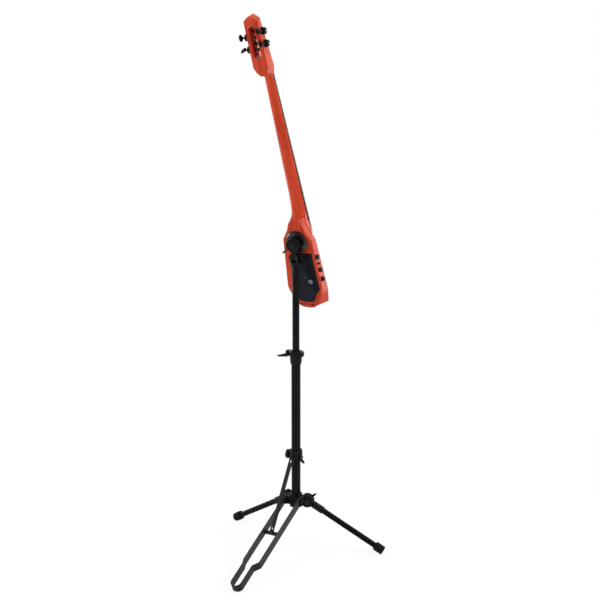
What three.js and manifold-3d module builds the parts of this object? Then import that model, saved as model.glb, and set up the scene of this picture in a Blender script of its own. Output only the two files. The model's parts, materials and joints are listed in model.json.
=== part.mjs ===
// Electric cello carried by a folding tripod stand.
// Millimetres, +Z up. X runs across the instrument, -Y is the player's side.
// The stand is built about the axis of its mast, which stands on X = Y = 0.
// At the end the whole object is moved so that its origin lies on the floor,
// under the middle of its overall box.
import * as THREE from "three";
import { mergeVertices } from "three/addons/utils/BufferGeometryUtils.js";
import Module from "manifold-3d";

const wasm = await Module();
wasm.setup();

// Driving dimensions

// Running and seating gaps that every fit is worked out from
const FIT = { gap: 0.3, overrun: 4, merge: 0.0001, chamfer: 1.2 };

// Numbers of sides on round pieces
const SIDES = { tube: 32, disc: 28, rod: 16, small: 12, wire: 8, arc: 10 };

const MAST = {
  lowerRadius: 17.5,
  lowerWall: 2.5,
  lowerBottom: 166,
  lowerTop: 757,
  upperRadius: 13.5,
  upperWall: 2,
  upperBottom: 505,
};

const HUB = {
  legHinge: 189,
  bossWall: 7.5,
  bossBottom: 163,
  bossTop: 214,
  knuckleOffset: 45,
  knuckleRadius: 26,
  knuckleWidth: 24,
  slotWidth: 13,
  bridgeHeight: 30,
  boltRadius: 4,
  yokeBottom: 176,
  yokeReach: 38,
  yokeCorner: 5,
  yokeDepth: 30,
  cheekWidth: 4,
  cheekRoot: 2,
};

const LEG = {
  footReach: 334,
  spreadDegrees: 75,
  tubeRadius: 11,
  wall: 1.6,
  tongueRadius: 20,
  tongueWidth: 12.2,
  sleeveRadius: 14,
  sleeveStart: 28,
  sleeveLength: 46,
  footRadius: 17,
  footLength: 36,
  footCap: 5,
  footFlat: 2.5,
  insertion: 34,
};

const LEG_BOLT = {
  headRadius: 8,
  headHeight: 4,
  leverWidth: 5,
  leverReach: 36,
  leverTip: 2.6,
  leverDegrees: 35,
};

const LOOP = {
  hingeForward: 25,
  hingeHeight: 196.8,
  slopeDegrees: 24,
  length: 455,
  halfWidth: 32.3,
  bandHeight: 30,
  bandThickness: 4,
  jogStart: 331,
  jogEnd: 352,
  tipHalfWidth: 20,
  tipShift: -6,
  pinRadius: 4,
  pinHead: 3,
  pinHeadRadius: 7.5,
  earWidth: 7,
};

const BRACE = {
  crossbarAlong: 174.6,
  crossbarDrop: 7,
  crossbarHeight: 15,
  crossbarThickness: 7,
  lugWidth: 7.6,
  lugReach: 14,
  lugRadius: 5.5,
  strutWidth: 12.4,
  strutWall: 2,
  strutEye: 5.5,
  footMouth: 11,
  headMouth: 19,
  pinRadius: 2.6,
  rivetRadius: 4.2,
  rivetHeight: 1.6,
};

const COLLAR = {
  bottom: 352,
  top: 392,
  wall: 7,
  pivotHeight: 368,
  pivotForward: 34,
  lugWidth: 7.6,
  lugRadius: 5.5,
  stubRadius: 8,
  stubReach: 27,
  blockReach: 28.5,
  blockBack: 15.2,
  blockFront: 8,
  blockCorner: 6,
  knobDrop: 3,
  knobRadius: 18,
  knobThickness: 11,
  knobGap: 0.6,
  stemRadius: 4,
  pinRadius: 2.5,
  leverAcross: 24.5,
  leverReach: 12,
  leverFall: 3,
  hookReach: 18,
  hookFall: 10,
  tipRadius: 4,
  leverWidth: 10,
  leverThickness: 6,
  leverDrop: 10,
};

const CLAMP = {
  bushingBottom: 729,
  bushingRadius: 22.5,
  bushingFoot: 19.6,
  bushingNeck: 17.4,
  bushingTop: 783,
  bottom: 760,
  top: 781,
  radius: 25,
  earReach: 39,
  earWidth: 20,
  leverHub: 7,
  leverThickness: 6,
  leverReach: 38,
  leverTip: 2.8,
  leverDrop: 5.5,
  leverDipDegrees: 13,
  boltRadius: 3,
  screwRadius: 3.5,
  blockReach: 29,
  blockWidth: 22,
  headRadius: 6,
  headLength: 3,
};

const TILT = {
  pivotHeight: 1133,
  pivotRise: 15,
  baseRadius: 23,
  baseHeight: 12,
  tubeSeat: 7,
  cheekRadius: 16.5,
  cheekThickness: 7,
  tongueWidth: 16,
  tongueRadius: 14,
  boltRadius: 4,
  knobRadius: 11,
  knobThickness: 9,
  wingHub: 7,
  wingHubLength: 9,
  wingReach: 15,
  wingThickness: 4,
  wingRise: 12,
};

const MOUNT = {
  discRadius: 43,
  discThickness: 12,
  rimThickness: 5,
  bevel: 6,
  drumRadius: 23,
  drumLength: 29,
  flangeRadius: 27,
  flangeThickness: 11,
  ringRadius: 27,
  ringLength: 13,
  ringStart: 2,
  leverRadius: 3.4,
  leverReach: 70,
  leverDegrees: 216,
};

// Where the middle of the mount lies from the mast and the tilt bolt, how the cello leans there,
// and how far up the body the mount is screwed on, as a share of the body's length
const CELLO = { mountForward: 9.8, mountRise: 60.3, leanDegrees: 18.1, mountShare: 0.757 };

// The tilt bolt's height carries the fork, the upper tube's end and the cello
const tiltBaseTop = TILT.pivotHeight - TILT.pivotRise;
const tiltBaseBottom = tiltBaseTop - TILT.baseHeight;
const upperTop = tiltBaseBottom + TILT.tubeSeat;
const mountTop = TILT.pivotHeight + CELLO.mountRise;

const BODY = {
  halfWidth: 74,
  length: 352,
  thickness: 50,
  taper: 0.0429,
  backRound: 2.6,
  frontRound: 4,
  cavityLedge: 7,
  cavityDepth: 29,
  coverThickness: 3,
  holePitch: 16.5,
  holeRadius: 3.4,
  holeHeight: 4,
};

// Half outline from the bottom up, as shares of the body's half width and length
const BACK_OUTLINE_SHARES = [
  [0, -0.037],
  [0.33, -0.029],
  [0.62, 0.009],
  [0.945, 0.165],
  [1, 0.215],
  [0.797, 0.775],
  [0.5, 0.875],
  [0.375, 0.955],
  [0.21, 1],
];
const FRONT_OUTLINE_SHARES = [
  [0, -0.037],
  [0.33, -0.031],
  [0.64, -0.015],
  [0.92, 0.003],
  [1.01, 0.165],
  [0.802, 0.755],
  [0.51, 0.858],
  [0.385, 0.945],
  [0.37, 1],
];
const COVER_OUTLINE_SHARES = [
  [0, 0.034],
  [0.46, 0.052],
  [0.62, 0.14],
  [0.87, 0.207],
  [0.7, 0.626],
  [-0.46, 0.626],
  [-0.72, 0.207],
  [-0.56, 0.14],
  [-0.46, 0.052],
];

const NECK = {
  overBody: 19.9,
  setDegrees: 6.12,
  nutHalfWidth: 16.8,
  heelHalfWidth: 27,
  nutDepth: 15,
  midDepth: 20,
};

// The foot under the fingerboard, from the neck's heel down: its place on the body's length,
// and its half widths on the body and under the board as shares of the body's half width
const FOOT_SHARES = [
  [1.011, 0.385, 0.365],
  [0.943, 0.385, 0.365],
  [0.858, 0.51, 0.446],
  [0.804, 0.622, 0.446],
];

const HEAD = {
  length: 216,
  shoulder: 198,
  frontShoulder: 204,
  crown: 11,
  halfWidthTop: 26.6,
  halfWidthLow: 29,
  lowStart: 38,
  noseHalfWidth: 8,
  noseStart: 9,
  flareHalfWidth: 20.3,
  flareStart: 20.6,
  cheekStart: 18,
  backRise: 42.5,
  frontDrop: 3,
  pitchShare: 0.112,
  edge: 2.4,
  slotBottom: 68,
  slotTop: 186,
  slotHalfLow: 13.5,
  slotHalfTop: 8.5,
  rampStart: 30,
  rampRise: 0.3,
  rampEnd: 86,
  rampDepth: 19.5,
};

const BOARD = { bridgeGap: 83, endHalfWidth: 31, edge: 8, radius: 62 };
const NUT = { length: 6, rise: 1.6 };

const TUNER = {
  heights: [161, 139.5, 118.5, 97.5],
  sides: [1, -1, 1, -1],
  axisRise: 25,
  tiltDegrees: 18,
  caseReach: 13.5,
  caseLength: 24,
  caseDepth: 21,
  caseRound: 5,
  postRadius: 3.6,
  rollerRadius: 5.6,
  postSeat: 7,
  stemRadius: 2.8,
  stemLength: 17,
  stemInside: 6,
  paddleLength: 24,
  paddleHalfWidth: 12,
  paddleThickness: 6,
};
const KEY_TURN_DEGREES = [115, 98, 104, 48];

// Rise, width and thickness of a key's thumb piece, from its stem to its tip
const PADDLE_SHARES = [
  [0, 0.28, 0.9],
  [0.18, 0.72, 1],
  [0.45, 1, 0.85],
  [0.75, 0.86, 0.75],
  [1, 0.4, 0.5],
];

const BRIDGE = {
  stringLength: 690,
  alongShare: 0.605,
  clearance: 6,
  thicknessFoot: 9,
  thicknessTop: 3,
  footHalfWidth: 33,
  topHalfWidth: 29,
  archHalfWidth: 12,
  archShare: 0.3,
  topRadius: 58,
  pickupHeight: 6,
  pickupHalfWidth: 38,
  pickupDepth: 14,
};

// A bridge's side, as shares of its foot's half width and of its rise
const BRIDGE_SIDE_SHARES = [
  [1, 0],
  [1, 0.12],
  [0.7, 0.3],
  [0.66, 0.5],
];

const STRING = {
  pitchBridge: 16,
  pitchNut: 7.6,
  radii: [0.45, 0.55, 0.65, 0.8],
  postShare: 0.7,
  ballRadius: 2.3,
  ballLength: 5,
  seat: 14,
  hole: 1.5,
  exit: 1.3,
};

const CONTROL = {
  knobRadius: 9,
  knobProud: 10,
  knobGap: 0.6,
  stemRadius: 3,
  stemLength: 17,
  fromFront: 30,
  bushingRadius: 5,
  bushingProud: 5,
  leverRadius: 2.2,
  leverLength: 5,
  boreRadius: 3.2,
};

// Places on the body, as shares of its length, and of its half width where two are given
const ALONG_SHARES = { volume: 0.577, toggle: 0.501, tone: 0.426, blend: 0.315, circuit: 0.455 };
const JACK_SHARES = [0.432, 0.298];
const LIGHT_SHARES = [0.149, 0.338];

const JACK = { flangeRadius: 8.5, flangeHeight: 2, barrelRadius: 6, barrelLength: 20, bore: 3.5 };
const LIGHT = { radius: 2.2, proud: 1, length: 6 };

// The board's width and length as shares of the body's half width and length, and its parts
const CIRCUIT_SHARES = [0.676, 0.25];
const CIRCUIT = {
  thickness: 1.6,
  depth: 20,
  partHeight: 6,
  partLength: 16,
  partWidth: 12,
  spacerRadius: 3,
  edge: 6,
};
const CIRCUIT_PART_SHARES = [
  [-0.3, -0.3],
  [0.25, -0.05],
  [-0.25, 0.3],
];

const COLOUR = {
  lacquer: { color: 0xb83a1e, roughness: 0.28, metalness: 0 },
  ebony: { color: 0x141214, roughness: 0.45, metalness: 0 },
  enamel: { color: 0x1b1c20, roughness: 0.38, metalness: 0.2 },
  casting: { color: 0x17181c, roughness: 0.5, metalness: 0.1 },
  band: { color: 0x24261f, roughness: 0.42, metalness: 0.5 },
  plastic: { color: 0x141417, roughness: 0.55, metalness: 0 },
  rubber: { color: 0x111112, roughness: 0.85, metalness: 0 },
  steel: { color: 0xb9bcc0, roughness: 0.25, metalness: 1 },
  blackened: { color: 0x202226, roughness: 0.35, metalness: 0.8 },
  maple: { color: 0xc89a63, roughness: 0.5, metalness: 0 },
  board: { color: 0x1d4d33, roughness: 0.6, metalness: 0 },
  lens: { color: 0xe8ece0, roughness: 0.2, metalness: 0 },
};

// Plain geometry helpers

const radians = THREE.MathUtils.degToRad;
const HALF_TURN = Math.PI;
const QUARTER_TURN = Math.PI / 2;
const FULL_TURN = Math.PI * 2;

function tidy(geometry) {
  const bare = geometry.clone();
  bare.deleteAttribute("normal");
  bare.deleteAttribute("uv");
  const merged = mergeVertices(bare, FIT.merge);
  const index = [];
  for (let i = 0; i < merged.index.count; i += 3) {
    const a = merged.index.getX(i);
    const b = merged.index.getX(i + 1);
    const c = merged.index.getX(i + 2);
    if (a !== b && b !== c && c !== a) {
      index.push(a, b, c);
    }
  }
  merged.setIndex(index);
  return facingOut(merged);
}

function signedVolume(geometry) {
  const at = geometry.attributes.position;
  const [a, b, c] = [new THREE.Vector3(), new THREE.Vector3(), new THREE.Vector3()];
  let sum = 0;
  for (let i = 0; i < geometry.index.count; i += 3) {
    a.fromBufferAttribute(at, geometry.index.getX(i));
    b.fromBufferAttribute(at, geometry.index.getX(i + 1));
    c.fromBufferAttribute(at, geometry.index.getX(i + 2));
    sum += a.dot(b.cross(c));
  }
  return sum;
}

function facingOut(geometry) {
  if (signedVolume(geometry) >= 0) {
    return geometry;
  }
  const index = Array.from(geometry.index.array);
  for (let i = 0; i < index.length; i += 3) {
    [index[i + 1], index[i + 2]] = [index[i + 2], index[i + 1]];
  }
  geometry.setIndex(index);
  return geometry;
}

function toSolid(geometry) {
  const source = tidy(geometry);
  const vertProperties = new Float32Array(source.attributes.position.array);
  const triVerts = new Uint32Array(source.index.array);
  return new wasm.Manifold(new wasm.Mesh({ numProp: 3, vertProperties, triVerts }));
}

function toGeometry(solid) {
  const mesh = solid.getMesh();
  const geometry = new THREE.BufferGeometry();
  const points = new Float32Array(mesh.vertProperties);
  geometry.setAttribute("position", new THREE.BufferAttribute(points, 3));
  geometry.setIndex(new THREE.BufferAttribute(new Uint32Array(mesh.triVerts), 1));
  return geometry;
}

function cut(geometry, ...tools) {
  return toGeometry(tools.reduce((solid, tool) => solid.subtract(toSolid(tool)), toSolid(geometry)));
}

function join(geometry, ...others) {
  return toGeometry(others.reduce((solid, other) => solid.add(toSolid(other)), toSolid(geometry)));
}

function block(width, depth, height) {
  return new THREE.BoxGeometry(width, depth, height);
}

// A body turned about Z from a profile of [radius, height] pairs that starts and ends on the axis
function turned(profile, sides) {
  const points = profile.map(([radius, height]) => new THREE.Vector2(radius, height));
  return new THREE.LatheGeometry(points, sides).rotateX(QUARTER_TURN);
}

// A rod along Z that stands on Z = 0, with both rims chamfered
function rod(radius, length, sides, chamfer = 0) {
  const inner = radius - chamfer;
  const wall = [[inner, 0], [radius, chamfer], [radius, length - chamfer], [inner, length]];
  return turned([[0, 0], ...wall, [0, length]], sides);
}

// An open pipe along Z that stands on Z = 0
function pipe(outer, inner, length, sides) {
  const profile = [[inner, 0], [outer, 0], [outer, length], [inner, length], [inner, 0]];
  return turned(profile, sides);
}

// A flat plate with the outline in X and Y, between two heights
function plate(outline, low, high) {
  const shape = new THREE.Shape(outline.map(([x, y]) => new THREE.Vector2(x, y)));
  const geometry = new THREE.ExtrudeGeometry(shape, { depth: high - low, bevelEnabled: false });
  return geometry.translate(0, 0, low);
}

// A solid through rings of points, closed at both ends
function loft(rings) {
  const count = rings[0].length;
  const points = rings.flat();
  const faces = [];
  for (let r = 0; r + 1 < rings.length; r += 1) {
    for (let i = 0; i < count; i += 1) {
      const next = (i + 1) % count;
      const a = r * count + i;
      const b = r * count + next;
      faces.push(a, b, b + count, a, b + count, a + count);
    }
  }
  const ends = [0, rings.length - 1];
  ends.forEach((r) => {
    const ring = rings[r];
    const centre = [0, 1, 2].map((axis) => ring.reduce((sum, point) => sum + point[axis], 0) / count);
    points.push(centre);
    const hub = points.length - 1;
    for (let i = 0; i < count; i += 1) {
      const a = r * count + i;
      const b = r * count + ((i + 1) % count);
      faces.push(...(r === 0 ? [hub, b, a] : [hub, a, b]));
    }
  });
  const geometry = new THREE.BufferGeometry();
  geometry.setAttribute("position", new THREE.Float32BufferAttribute(points.flat(), 3));
  geometry.setIndex(faces);
  return geometry;
}

// The outline moved inwards by one distance, with its corners kept
function inset(outline, distance) {
  const area = outline.reduce((sum, [x, y], i) => {
    const [u, v] = outline[(i + 1) % outline.length];
    return sum + x * v - u * y;
  }, 0);
  const side = Math.sign(area) * distance;
  return outline.map((point, i) => {
    const before = outline[(i + outline.length - 1) % outline.length];
    const after = outline[(i + 1) % outline.length];
    const u = new THREE.Vector2(point[0] - before[0], point[1] - before[1]).normalize();
    const v = new THREE.Vector2(after[0] - point[0], after[1] - point[1]).normalize();
    const normal = new THREE.Vector2(-u.y - v.y, u.x + v.x);
    const reach = side / (1 + u.dot(v));
    return [point[0] + normal.x * reach, point[1] + normal.y * reach];
  });
}

// The right half of an outline, from the bottom up, closed by its mirror image
function mirrored(half) {
  const left = half.filter(([x]) => x > 0).map(([x, y]) => [-x, y]).reverse();
  return [...half, ...left];
}

function circle(radius, sides, centre = [0, 0]) {
  return Array.from({ length: sides }, (_, i) => {
    const angle = (FULL_TURN * i) / sides;
    return [centre[0] + radius * Math.cos(angle), centre[1] + radius * Math.sin(angle)];
  });
}

// Two circles of one radius joined by straight sides, as a link or an arm is
function link(from, to, radiusFrom, radiusTo, sides) {
  const angle = Math.atan2(to[1] - from[1], to[0] - from[0]);
  const half = sides / 2;
  const arc = (centre, radius, start) => Array.from({ length: half + 1 }, (_, i) => {
    const turn = start + (HALF_TURN * i) / half;
    return [centre[0] + radius * Math.cos(turn), centre[1] + radius * Math.sin(turn)];
  });
  return [...arc(to, radiusTo, angle - QUARTER_TURN), ...arc(from, radiusFrom, angle + QUARTER_TURN)];
}

// A round wire through a few places, with square ends
function wire(places, radius, sides) {
  const points = places.map((place) => new THREE.Vector3(...place));
  const rings = points.map((point, i) => {
    const before = points[Math.max(i - 1, 0)];
    const after = points[Math.min(i + 1, points.length - 1)];
    const along = after.clone().sub(before).normalize();
    const across = new THREE.Vector3(1, 0, 0).projectOnPlane(along).normalize();
    const up = along.clone().cross(across);
    return circle(radius, sides).map(([x, y]) => {
      const offset = across.clone().multiplyScalar(x).addScaledVector(up, y);
      return point.clone().add(offset).toArray();
    });
  });
  return loft(rings);
}

function mesh(name, geometry, finish, parent) {
  const whole = tidy(geometry).toNonIndexed();
  whole.computeVertexNormals();
  const piece = new THREE.Mesh(whole, new THREE.MeshStandardMaterial({ ...finish, flatShading: true }));
  piece.name = name;
  parent.add(piece);
  return piece;
}

function frame(parent, place = [0, 0, 0]) {
  const group = new THREE.Group();
  group.position.set(...place);
  parent.add(group);
  return group;
}

// Geometry that stands along Z is laid along X or Y
const alongX = (geometry) => geometry.rotateY(QUARTER_TURN);
const alongY = (geometry) => geometry.rotateX(-QUARTER_TURN);

const object = new THREE.Group();
const stand = frame(object);

// Hub: the casting on the mast's foot, with two slotted knuckles and two ears for the loop leg

const bossRadius = MAST.lowerRadius + HUB.bossWall;
const knuckleBore = HUB.boltRadius + FIT.gap;

function knuckle() {
  const disc = alongY(rod(HUB.knuckleRadius, HUB.knuckleWidth, SIDES.disc, FIT.chamfer));
  disc.translate(HUB.knuckleOffset, -HUB.knuckleWidth / 2, HUB.legHinge);
  const arm = block(HUB.knuckleOffset, HUB.knuckleWidth - FIT.chamfer, HUB.bridgeHeight);
  arm.translate(HUB.knuckleOffset / 2, 0, HUB.legHinge);
  const slotStart = HUB.knuckleOffset - LEG.tongueRadius - FIT.gap * 2;
  const slotLength = HUB.knuckleRadius * 2 + FIT.overrun;
  const slot = block(slotLength, HUB.slotWidth, slotLength);
  slot.translate(slotStart + slotLength / 2, 0, HUB.legHinge);
  const bore = alongY(rod(knuckleBore, HUB.knuckleWidth + FIT.overrun, SIDES.rod));
  bore.translate(HUB.knuckleOffset, -(HUB.knuckleWidth + FIT.overrun) / 2, HUB.legHinge);
  return { solid: join(disc, arm), tools: [slot, bore] };
}

// The yoke that the loop leg hinges in: an ear inside and a cheek outside each of its two ends
const loopInner = LOOP.halfWidth - LOOP.bandThickness / 2 - FIT.gap;
const loopOuter = LOOP.halfWidth + LOOP.bandThickness / 2 + FIT.gap;
const cheekOuter = loopOuter + HUB.cheekWidth;

function yokeEar(start, width) {
  const radius = HUB.yokeReach - LOOP.hingeForward;
  const arc = Array.from({ length: SIDES.arc + 1 }, (_, i) => {
    const angle = HALF_TURN - (QUARTER_TURN * i) / SIDES.arc;
    return [radius * Math.cos(angle) - LOOP.hingeForward, LOOP.hingeHeight + radius * Math.sin(angle)];
  });
  const corner = [
    [HUB.yokeCorner - HUB.yokeReach, HUB.yokeBottom],
    [-HUB.yokeReach, HUB.yokeBottom + HUB.yokeCorner],
  ];
  const root = -HUB.cheekRoot;
  const outline = [[root, HUB.yokeBottom], ...corner, ...arc, [root, LOOP.hingeHeight + radius]];
  return plate(outline, start, start + width).rotateZ(QUARTER_TURN).rotateY(QUARTER_TURN);
}

// Between the ears it is solid, and a bar close to the mast ties the cheeks to it
function yokeBlock() {
  const top = LOOP.hingeHeight + HUB.yokeReach - LOOP.hingeForward - FIT.chamfer;
  const height = top - HUB.yokeBottom - FIT.chamfer;
  const middle = block((loopInner - FIT.chamfer) * 2, HUB.yokeDepth, height);
  middle.translate(0, -HUB.yokeDepth / 2, top - height / 2);
  const eyeEdge = LOOP.hingeForward - LOOP.bandHeight / 2 - FIT.gap * 2;
  const bar = block((cheekOuter - FIT.gap) * 2, eyeEdge - HUB.cheekRoot - FIT.gap, height - FIT.chamfer);
  bar.translate(0, -(eyeEdge + HUB.cheekRoot + FIT.gap) / 2, top - height / 2);
  return join(middle, bar);
}

function hubGeometry() {
  const boss = rod(bossRadius, HUB.bossTop - HUB.bossBottom, SIDES.tube, FIT.chamfer);
  boss.translate(0, 0, HUB.bossBottom);
  const inner = loopInner - LOOP.earWidth;
  const parts = [yokeBlock()];
  const tools = [];
  [1, -1].forEach((side) => {
    const angle = QUARTER_TURN - side * radians(LEG.spreadDegrees);
    const { solid, tools: cuts } = knuckle();
    parts.push(solid.rotateZ(angle));
    tools.push(...cuts.map((tool) => tool.rotateZ(angle)));
    const places = side > 0 ? [inner, loopOuter] : [-loopInner, -cheekOuter];
    parts.push(yokeEar(places[0], LOOP.earWidth), yokeEar(places[1], HUB.cheekWidth));
  });
  const pinReach = cheekOuter + FIT.overrun;
  const pinHole = alongX(rod(LOOP.pinRadius + FIT.gap, pinReach * 2, SIDES.rod));
  pinHole.translate(-pinReach, -LOOP.hingeForward, LOOP.hingeHeight);
  const bore = rod(MAST.lowerRadius + FIT.gap, HUB.bossTop, SIDES.tube);
  bore.translate(0, 0, MAST.lowerBottom - FIT.gap);
  return cut(join(boss, ...parts), ...tools, pinHole, bore);
}

mesh("hub", hubGeometry(), COLOUR.casting, stand);

// Mast: two telescoping tubes

const lowerLength = MAST.lowerTop - MAST.lowerBottom;
const lowerInner = MAST.lowerRadius - MAST.lowerWall;
const lowerTube = pipe(MAST.lowerRadius, lowerInner, lowerLength, SIDES.tube);
mesh("lower_tube", lowerTube.translate(0, 0, MAST.lowerBottom), COLOUR.enamel, stand);

const upperLength = upperTop - MAST.upperBottom;
const upperTube = pipe(MAST.upperRadius, MAST.upperRadius - MAST.upperWall, upperLength, SIDES.tube);
mesh("upper_tube", upperTube.translate(0, 0, MAST.upperBottom), COLOUR.enamel, stand);

// Tube legs. Each stands in a frame whose X runs outwards and whose Y is the hinge axis.

// The corner of the foot would lie under the floor by footFlat, and is cut flat there.

const legRun = LEG.footReach - HUB.knuckleOffset;
const legFall = HUB.legHinge + LEG.footFlat;
const legReach = Math.hypot(legRun, legFall);
const legSlope = Math.atan2(legFall, legRun) - Math.asin(LEG.footRadius / legReach);
const legLength = Math.sqrt(legReach ** 2 - LEG.footRadius ** 2);

function legJoint() {
  const disc = alongY(rod(LEG.tongueRadius, LEG.tongueWidth, SIDES.disc));
  disc.translate(0, -LEG.tongueWidth / 2, 0);
  const arm = block(LEG.sleeveStart + FIT.overrun, LEG.tongueWidth, LEG.sleeveRadius * 2 - FIT.overrun);
  arm.translate((LEG.sleeveStart + FIT.overrun) / 2, 0, 0);
  const sleeve = alongX(rod(LEG.sleeveRadius, LEG.sleeveLength, SIDES.disc, FIT.chamfer));
  sleeve.translate(LEG.sleeveStart, 0, 0);
  const socketStart = LEG.sleeveStart + LEG.sleeveLength - LEG.insertion - FIT.gap;
  const socket = alongX(rod(LEG.tubeRadius + FIT.gap, LEG.insertion + FIT.overrun, SIDES.disc));
  socket.translate(socketStart, 0, 0);
  const bore = alongY(rod(knuckleBore, LEG.tongueWidth + FIT.overrun, SIDES.rod));
  bore.translate(0, -(LEG.tongueWidth + FIT.overrun) / 2, 0);
  return cut(join(disc, arm, sleeve), socket, bore);
}

function legTube() {
  const start = LEG.sleeveStart + LEG.sleeveLength - LEG.insertion;
  const length = legLength - LEG.footCap - FIT.gap - start;
  const tube = pipe(LEG.tubeRadius, LEG.tubeRadius - LEG.wall, length, SIDES.disc);
  return alongX(tube).translate(start, 0, 0);
}

// The rubber foot is turned about the leg and cut flat where it stands on the floor
function legFoot() {
  const outer = alongX(rod(LEG.footRadius, LEG.footLength, SIDES.disc, FIT.gap));
  outer.translate(legLength - LEG.footLength, 0, 0);
  const socket = alongX(rod(LEG.tubeRadius + FIT.gap, LEG.footLength, SIDES.disc));
  socket.translate(legLength - LEG.footCap - LEG.footLength, 0, 0);
  const ground = block(LEG.footReach, LEG.footReach, LEG.footLength);
  ground.translate(0, 0, -LEG.footLength / 2);
  ground.translate(legLength * Math.cos(legSlope), 0, -HUB.legHinge);
  ground.rotateY(-legSlope);
  return cut(outer, socket, ground);
}

function legBolt() {
  const length = HUB.knuckleWidth + LEG_BOLT.headHeight * 2 + FIT.gap * 2;
  const head = LEG_BOLT.headHeight;
  const profile = [
    [0, 0],
    [LEG_BOLT.headRadius, 0],
    [LEG_BOLT.headRadius, head],
    [HUB.boltRadius, head],
    [HUB.boltRadius, length - head],
    [LEG_BOLT.headRadius, length - head],
    [LEG_BOLT.headRadius, length],
    [0, length],
  ];
  return alongY(turned(profile, SIDES.rod)).translate(0, -length / 2, 0);
}

[["right", 1], ["left", -1]].forEach(([side, sign]) => {
  const arm = frame(stand);
  arm.rotation.z = QUARTER_TURN - sign * radians(LEG.spreadDegrees);
  const hinge = frame(arm, [HUB.knuckleOffset, 0, HUB.legHinge]);
  mesh(`${side}_leg_bolt`, legBolt(), COLOUR.blackened, hinge);
  const leg = frame(hinge);
  leg.rotation.y = legSlope;
  mesh(`${side}_leg_joint`, legJoint(), COLOUR.casting, leg);
  mesh(`${side}_leg_tube`, legTube(), COLOUR.enamel, leg);
  mesh(`${side}_leg_foot`, legFoot(), COLOUR.rubber, leg);
});

// The lever on the far end of the right leg's bolt, which locks that joint
function legLever() {
  const outline = link([0, 0], [LEG_BOLT.leverReach, 0], LEG_BOLT.headRadius, LEG_BOLT.leverTip, SIDES.rod);
  return plate(outline, 0, LEG_BOLT.leverWidth);
}

const leverArm = frame(stand);
leverArm.rotation.z = QUARTER_TURN - radians(LEG.spreadDegrees);
const leverPlace = HUB.knuckleWidth / 2 + LEG_BOLT.headHeight + FIT.gap * 2;
const leverHinge = frame(leverArm, [HUB.knuckleOffset, leverPlace, HUB.legHinge]);
leverHinge.rotation.x = -QUARTER_TURN;
const legLockLever = mesh("leg_lock_lever", legLever(), COLOUR.casting, leverHinge);
legLockLever.rotation.z = -radians(LEG_BOLT.leverDegrees);

// Loop leg: one steel band bent into a long narrow loop, seen here in its own frame.
// Its -Y runs outwards along the slope, and Z is square to it.

function loopCentreline() {
  const half = LOOP.halfWidth;
  const tip = LOOP.tipHalfWidth;
  const roundCentre = LOOP.length - LOOP.bandThickness / 2 - tip;
  const right = [[half, 0], [half, -LOOP.jogStart], [LOOP.tipShift + tip, -LOOP.jogEnd]];
  const left = [[LOOP.tipShift - tip, -LOOP.jogEnd], [-half, -LOOP.jogStart], [-half, 0]];
  const round = Array.from({ length: SIDES.arc + 1 }, (_, i) => {
    const angle = (HALF_TURN * i) / SIDES.arc;
    return [LOOP.tipShift + tip * Math.cos(angle), -roundCentre - tip * Math.sin(angle)];
  });
  return [...right, ...round, ...left];
}

// A flat strip of one thickness about a line of points
function strip(line, thickness) {
  const offset = (distance) => line.map((point, i) => {
    const before = line[Math.max(i - 1, 0)];
    const after = line[Math.min(i + 1, line.length - 1)];
    const u = new THREE.Vector2(point[0] - before[0], point[1] - before[1]);
    const v = new THREE.Vector2(after[0] - point[0], after[1] - point[1]);
    const first = (u.length() > 0 ? u : v).clone().normalize();
    const second = (v.length() > 0 ? v : u).clone().normalize();
    const reach = distance / (1 + first.dot(second));
    return [point[0] - (first.y + second.y) * reach, point[1] + (first.x + second.x) * reach];
  });
  return [...offset(thickness / 2), ...offset(-thickness / 2).reverse()];
}

function loopGeometry() {
  const outline = strip(loopCentreline(), LOOP.bandThickness);
  const band = plate(outline, -LOOP.bandHeight / 2, LOOP.bandHeight / 2);
  const eyes = [1, -1].map((side) => {
    const eye = alongX(rod(LOOP.bandHeight / 2, LOOP.bandThickness, SIDES.disc));
    return eye.translate(side * LOOP.halfWidth - LOOP.bandThickness / 2, 0, 0);
  });
  const reach = LOOP.halfWidth + LOOP.bandThickness;
  const hole = alongX(rod(LOOP.pinRadius + FIT.gap, reach * 2, SIDES.rod)).translate(-reach, 0, 0);
  const ground = block(LOOP.length, LOOP.length, LOOP.length);
  ground.translate(0, -LOOP.jogEnd, -LOOP.hingeHeight - LOOP.length / 2);
  ground.rotateX(-radians(LOOP.slopeDegrees));
  return cut(join(band, ...eyes), hole, ground);
}

const loop = frame(stand, [0, -LOOP.hingeForward, LOOP.hingeHeight]);
loop.rotation.x = radians(LOOP.slopeDegrees);
mesh("loop_leg", loopGeometry(), COLOUR.band, loop);

function loopPin() {
  const outer = cheekOuter + FIT.gap;
  const profile = [
    [0, -outer - LOOP.pinHead],
    [LOOP.pinHeadRadius, -outer - LOOP.pinHead],
    [LOOP.pinHeadRadius, -outer],
    [LOOP.pinRadius, -outer],
    [LOOP.pinRadius, outer],
    [LOOP.pinHeadRadius, outer],
    [LOOP.pinHeadRadius, outer + LOOP.pinHead],
    [0, outer + LOOP.pinHead],
  ];
  return alongX(turned(profile, SIDES.rod));
}

mesh("loop_pin", loopPin(), COLOUR.blackened, frame(stand, [0, -LOOP.hingeForward, LOOP.hingeHeight]));

// Crossbar between the two sides of the loop, with the lug that carries the strut

const crossbarPlace = [0, -BRACE.crossbarAlong, -BRACE.crossbarDrop];
const loopSlope = radians(LOOP.slopeDegrees);

function intoStand([x, y, z]) {
  return [
    x,
    -LOOP.hingeForward + y * Math.cos(loopSlope) - z * Math.sin(loopSlope),
    LOOP.hingeHeight + y * Math.sin(loopSlope) + z * Math.cos(loopSlope),
  ];
}

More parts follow.
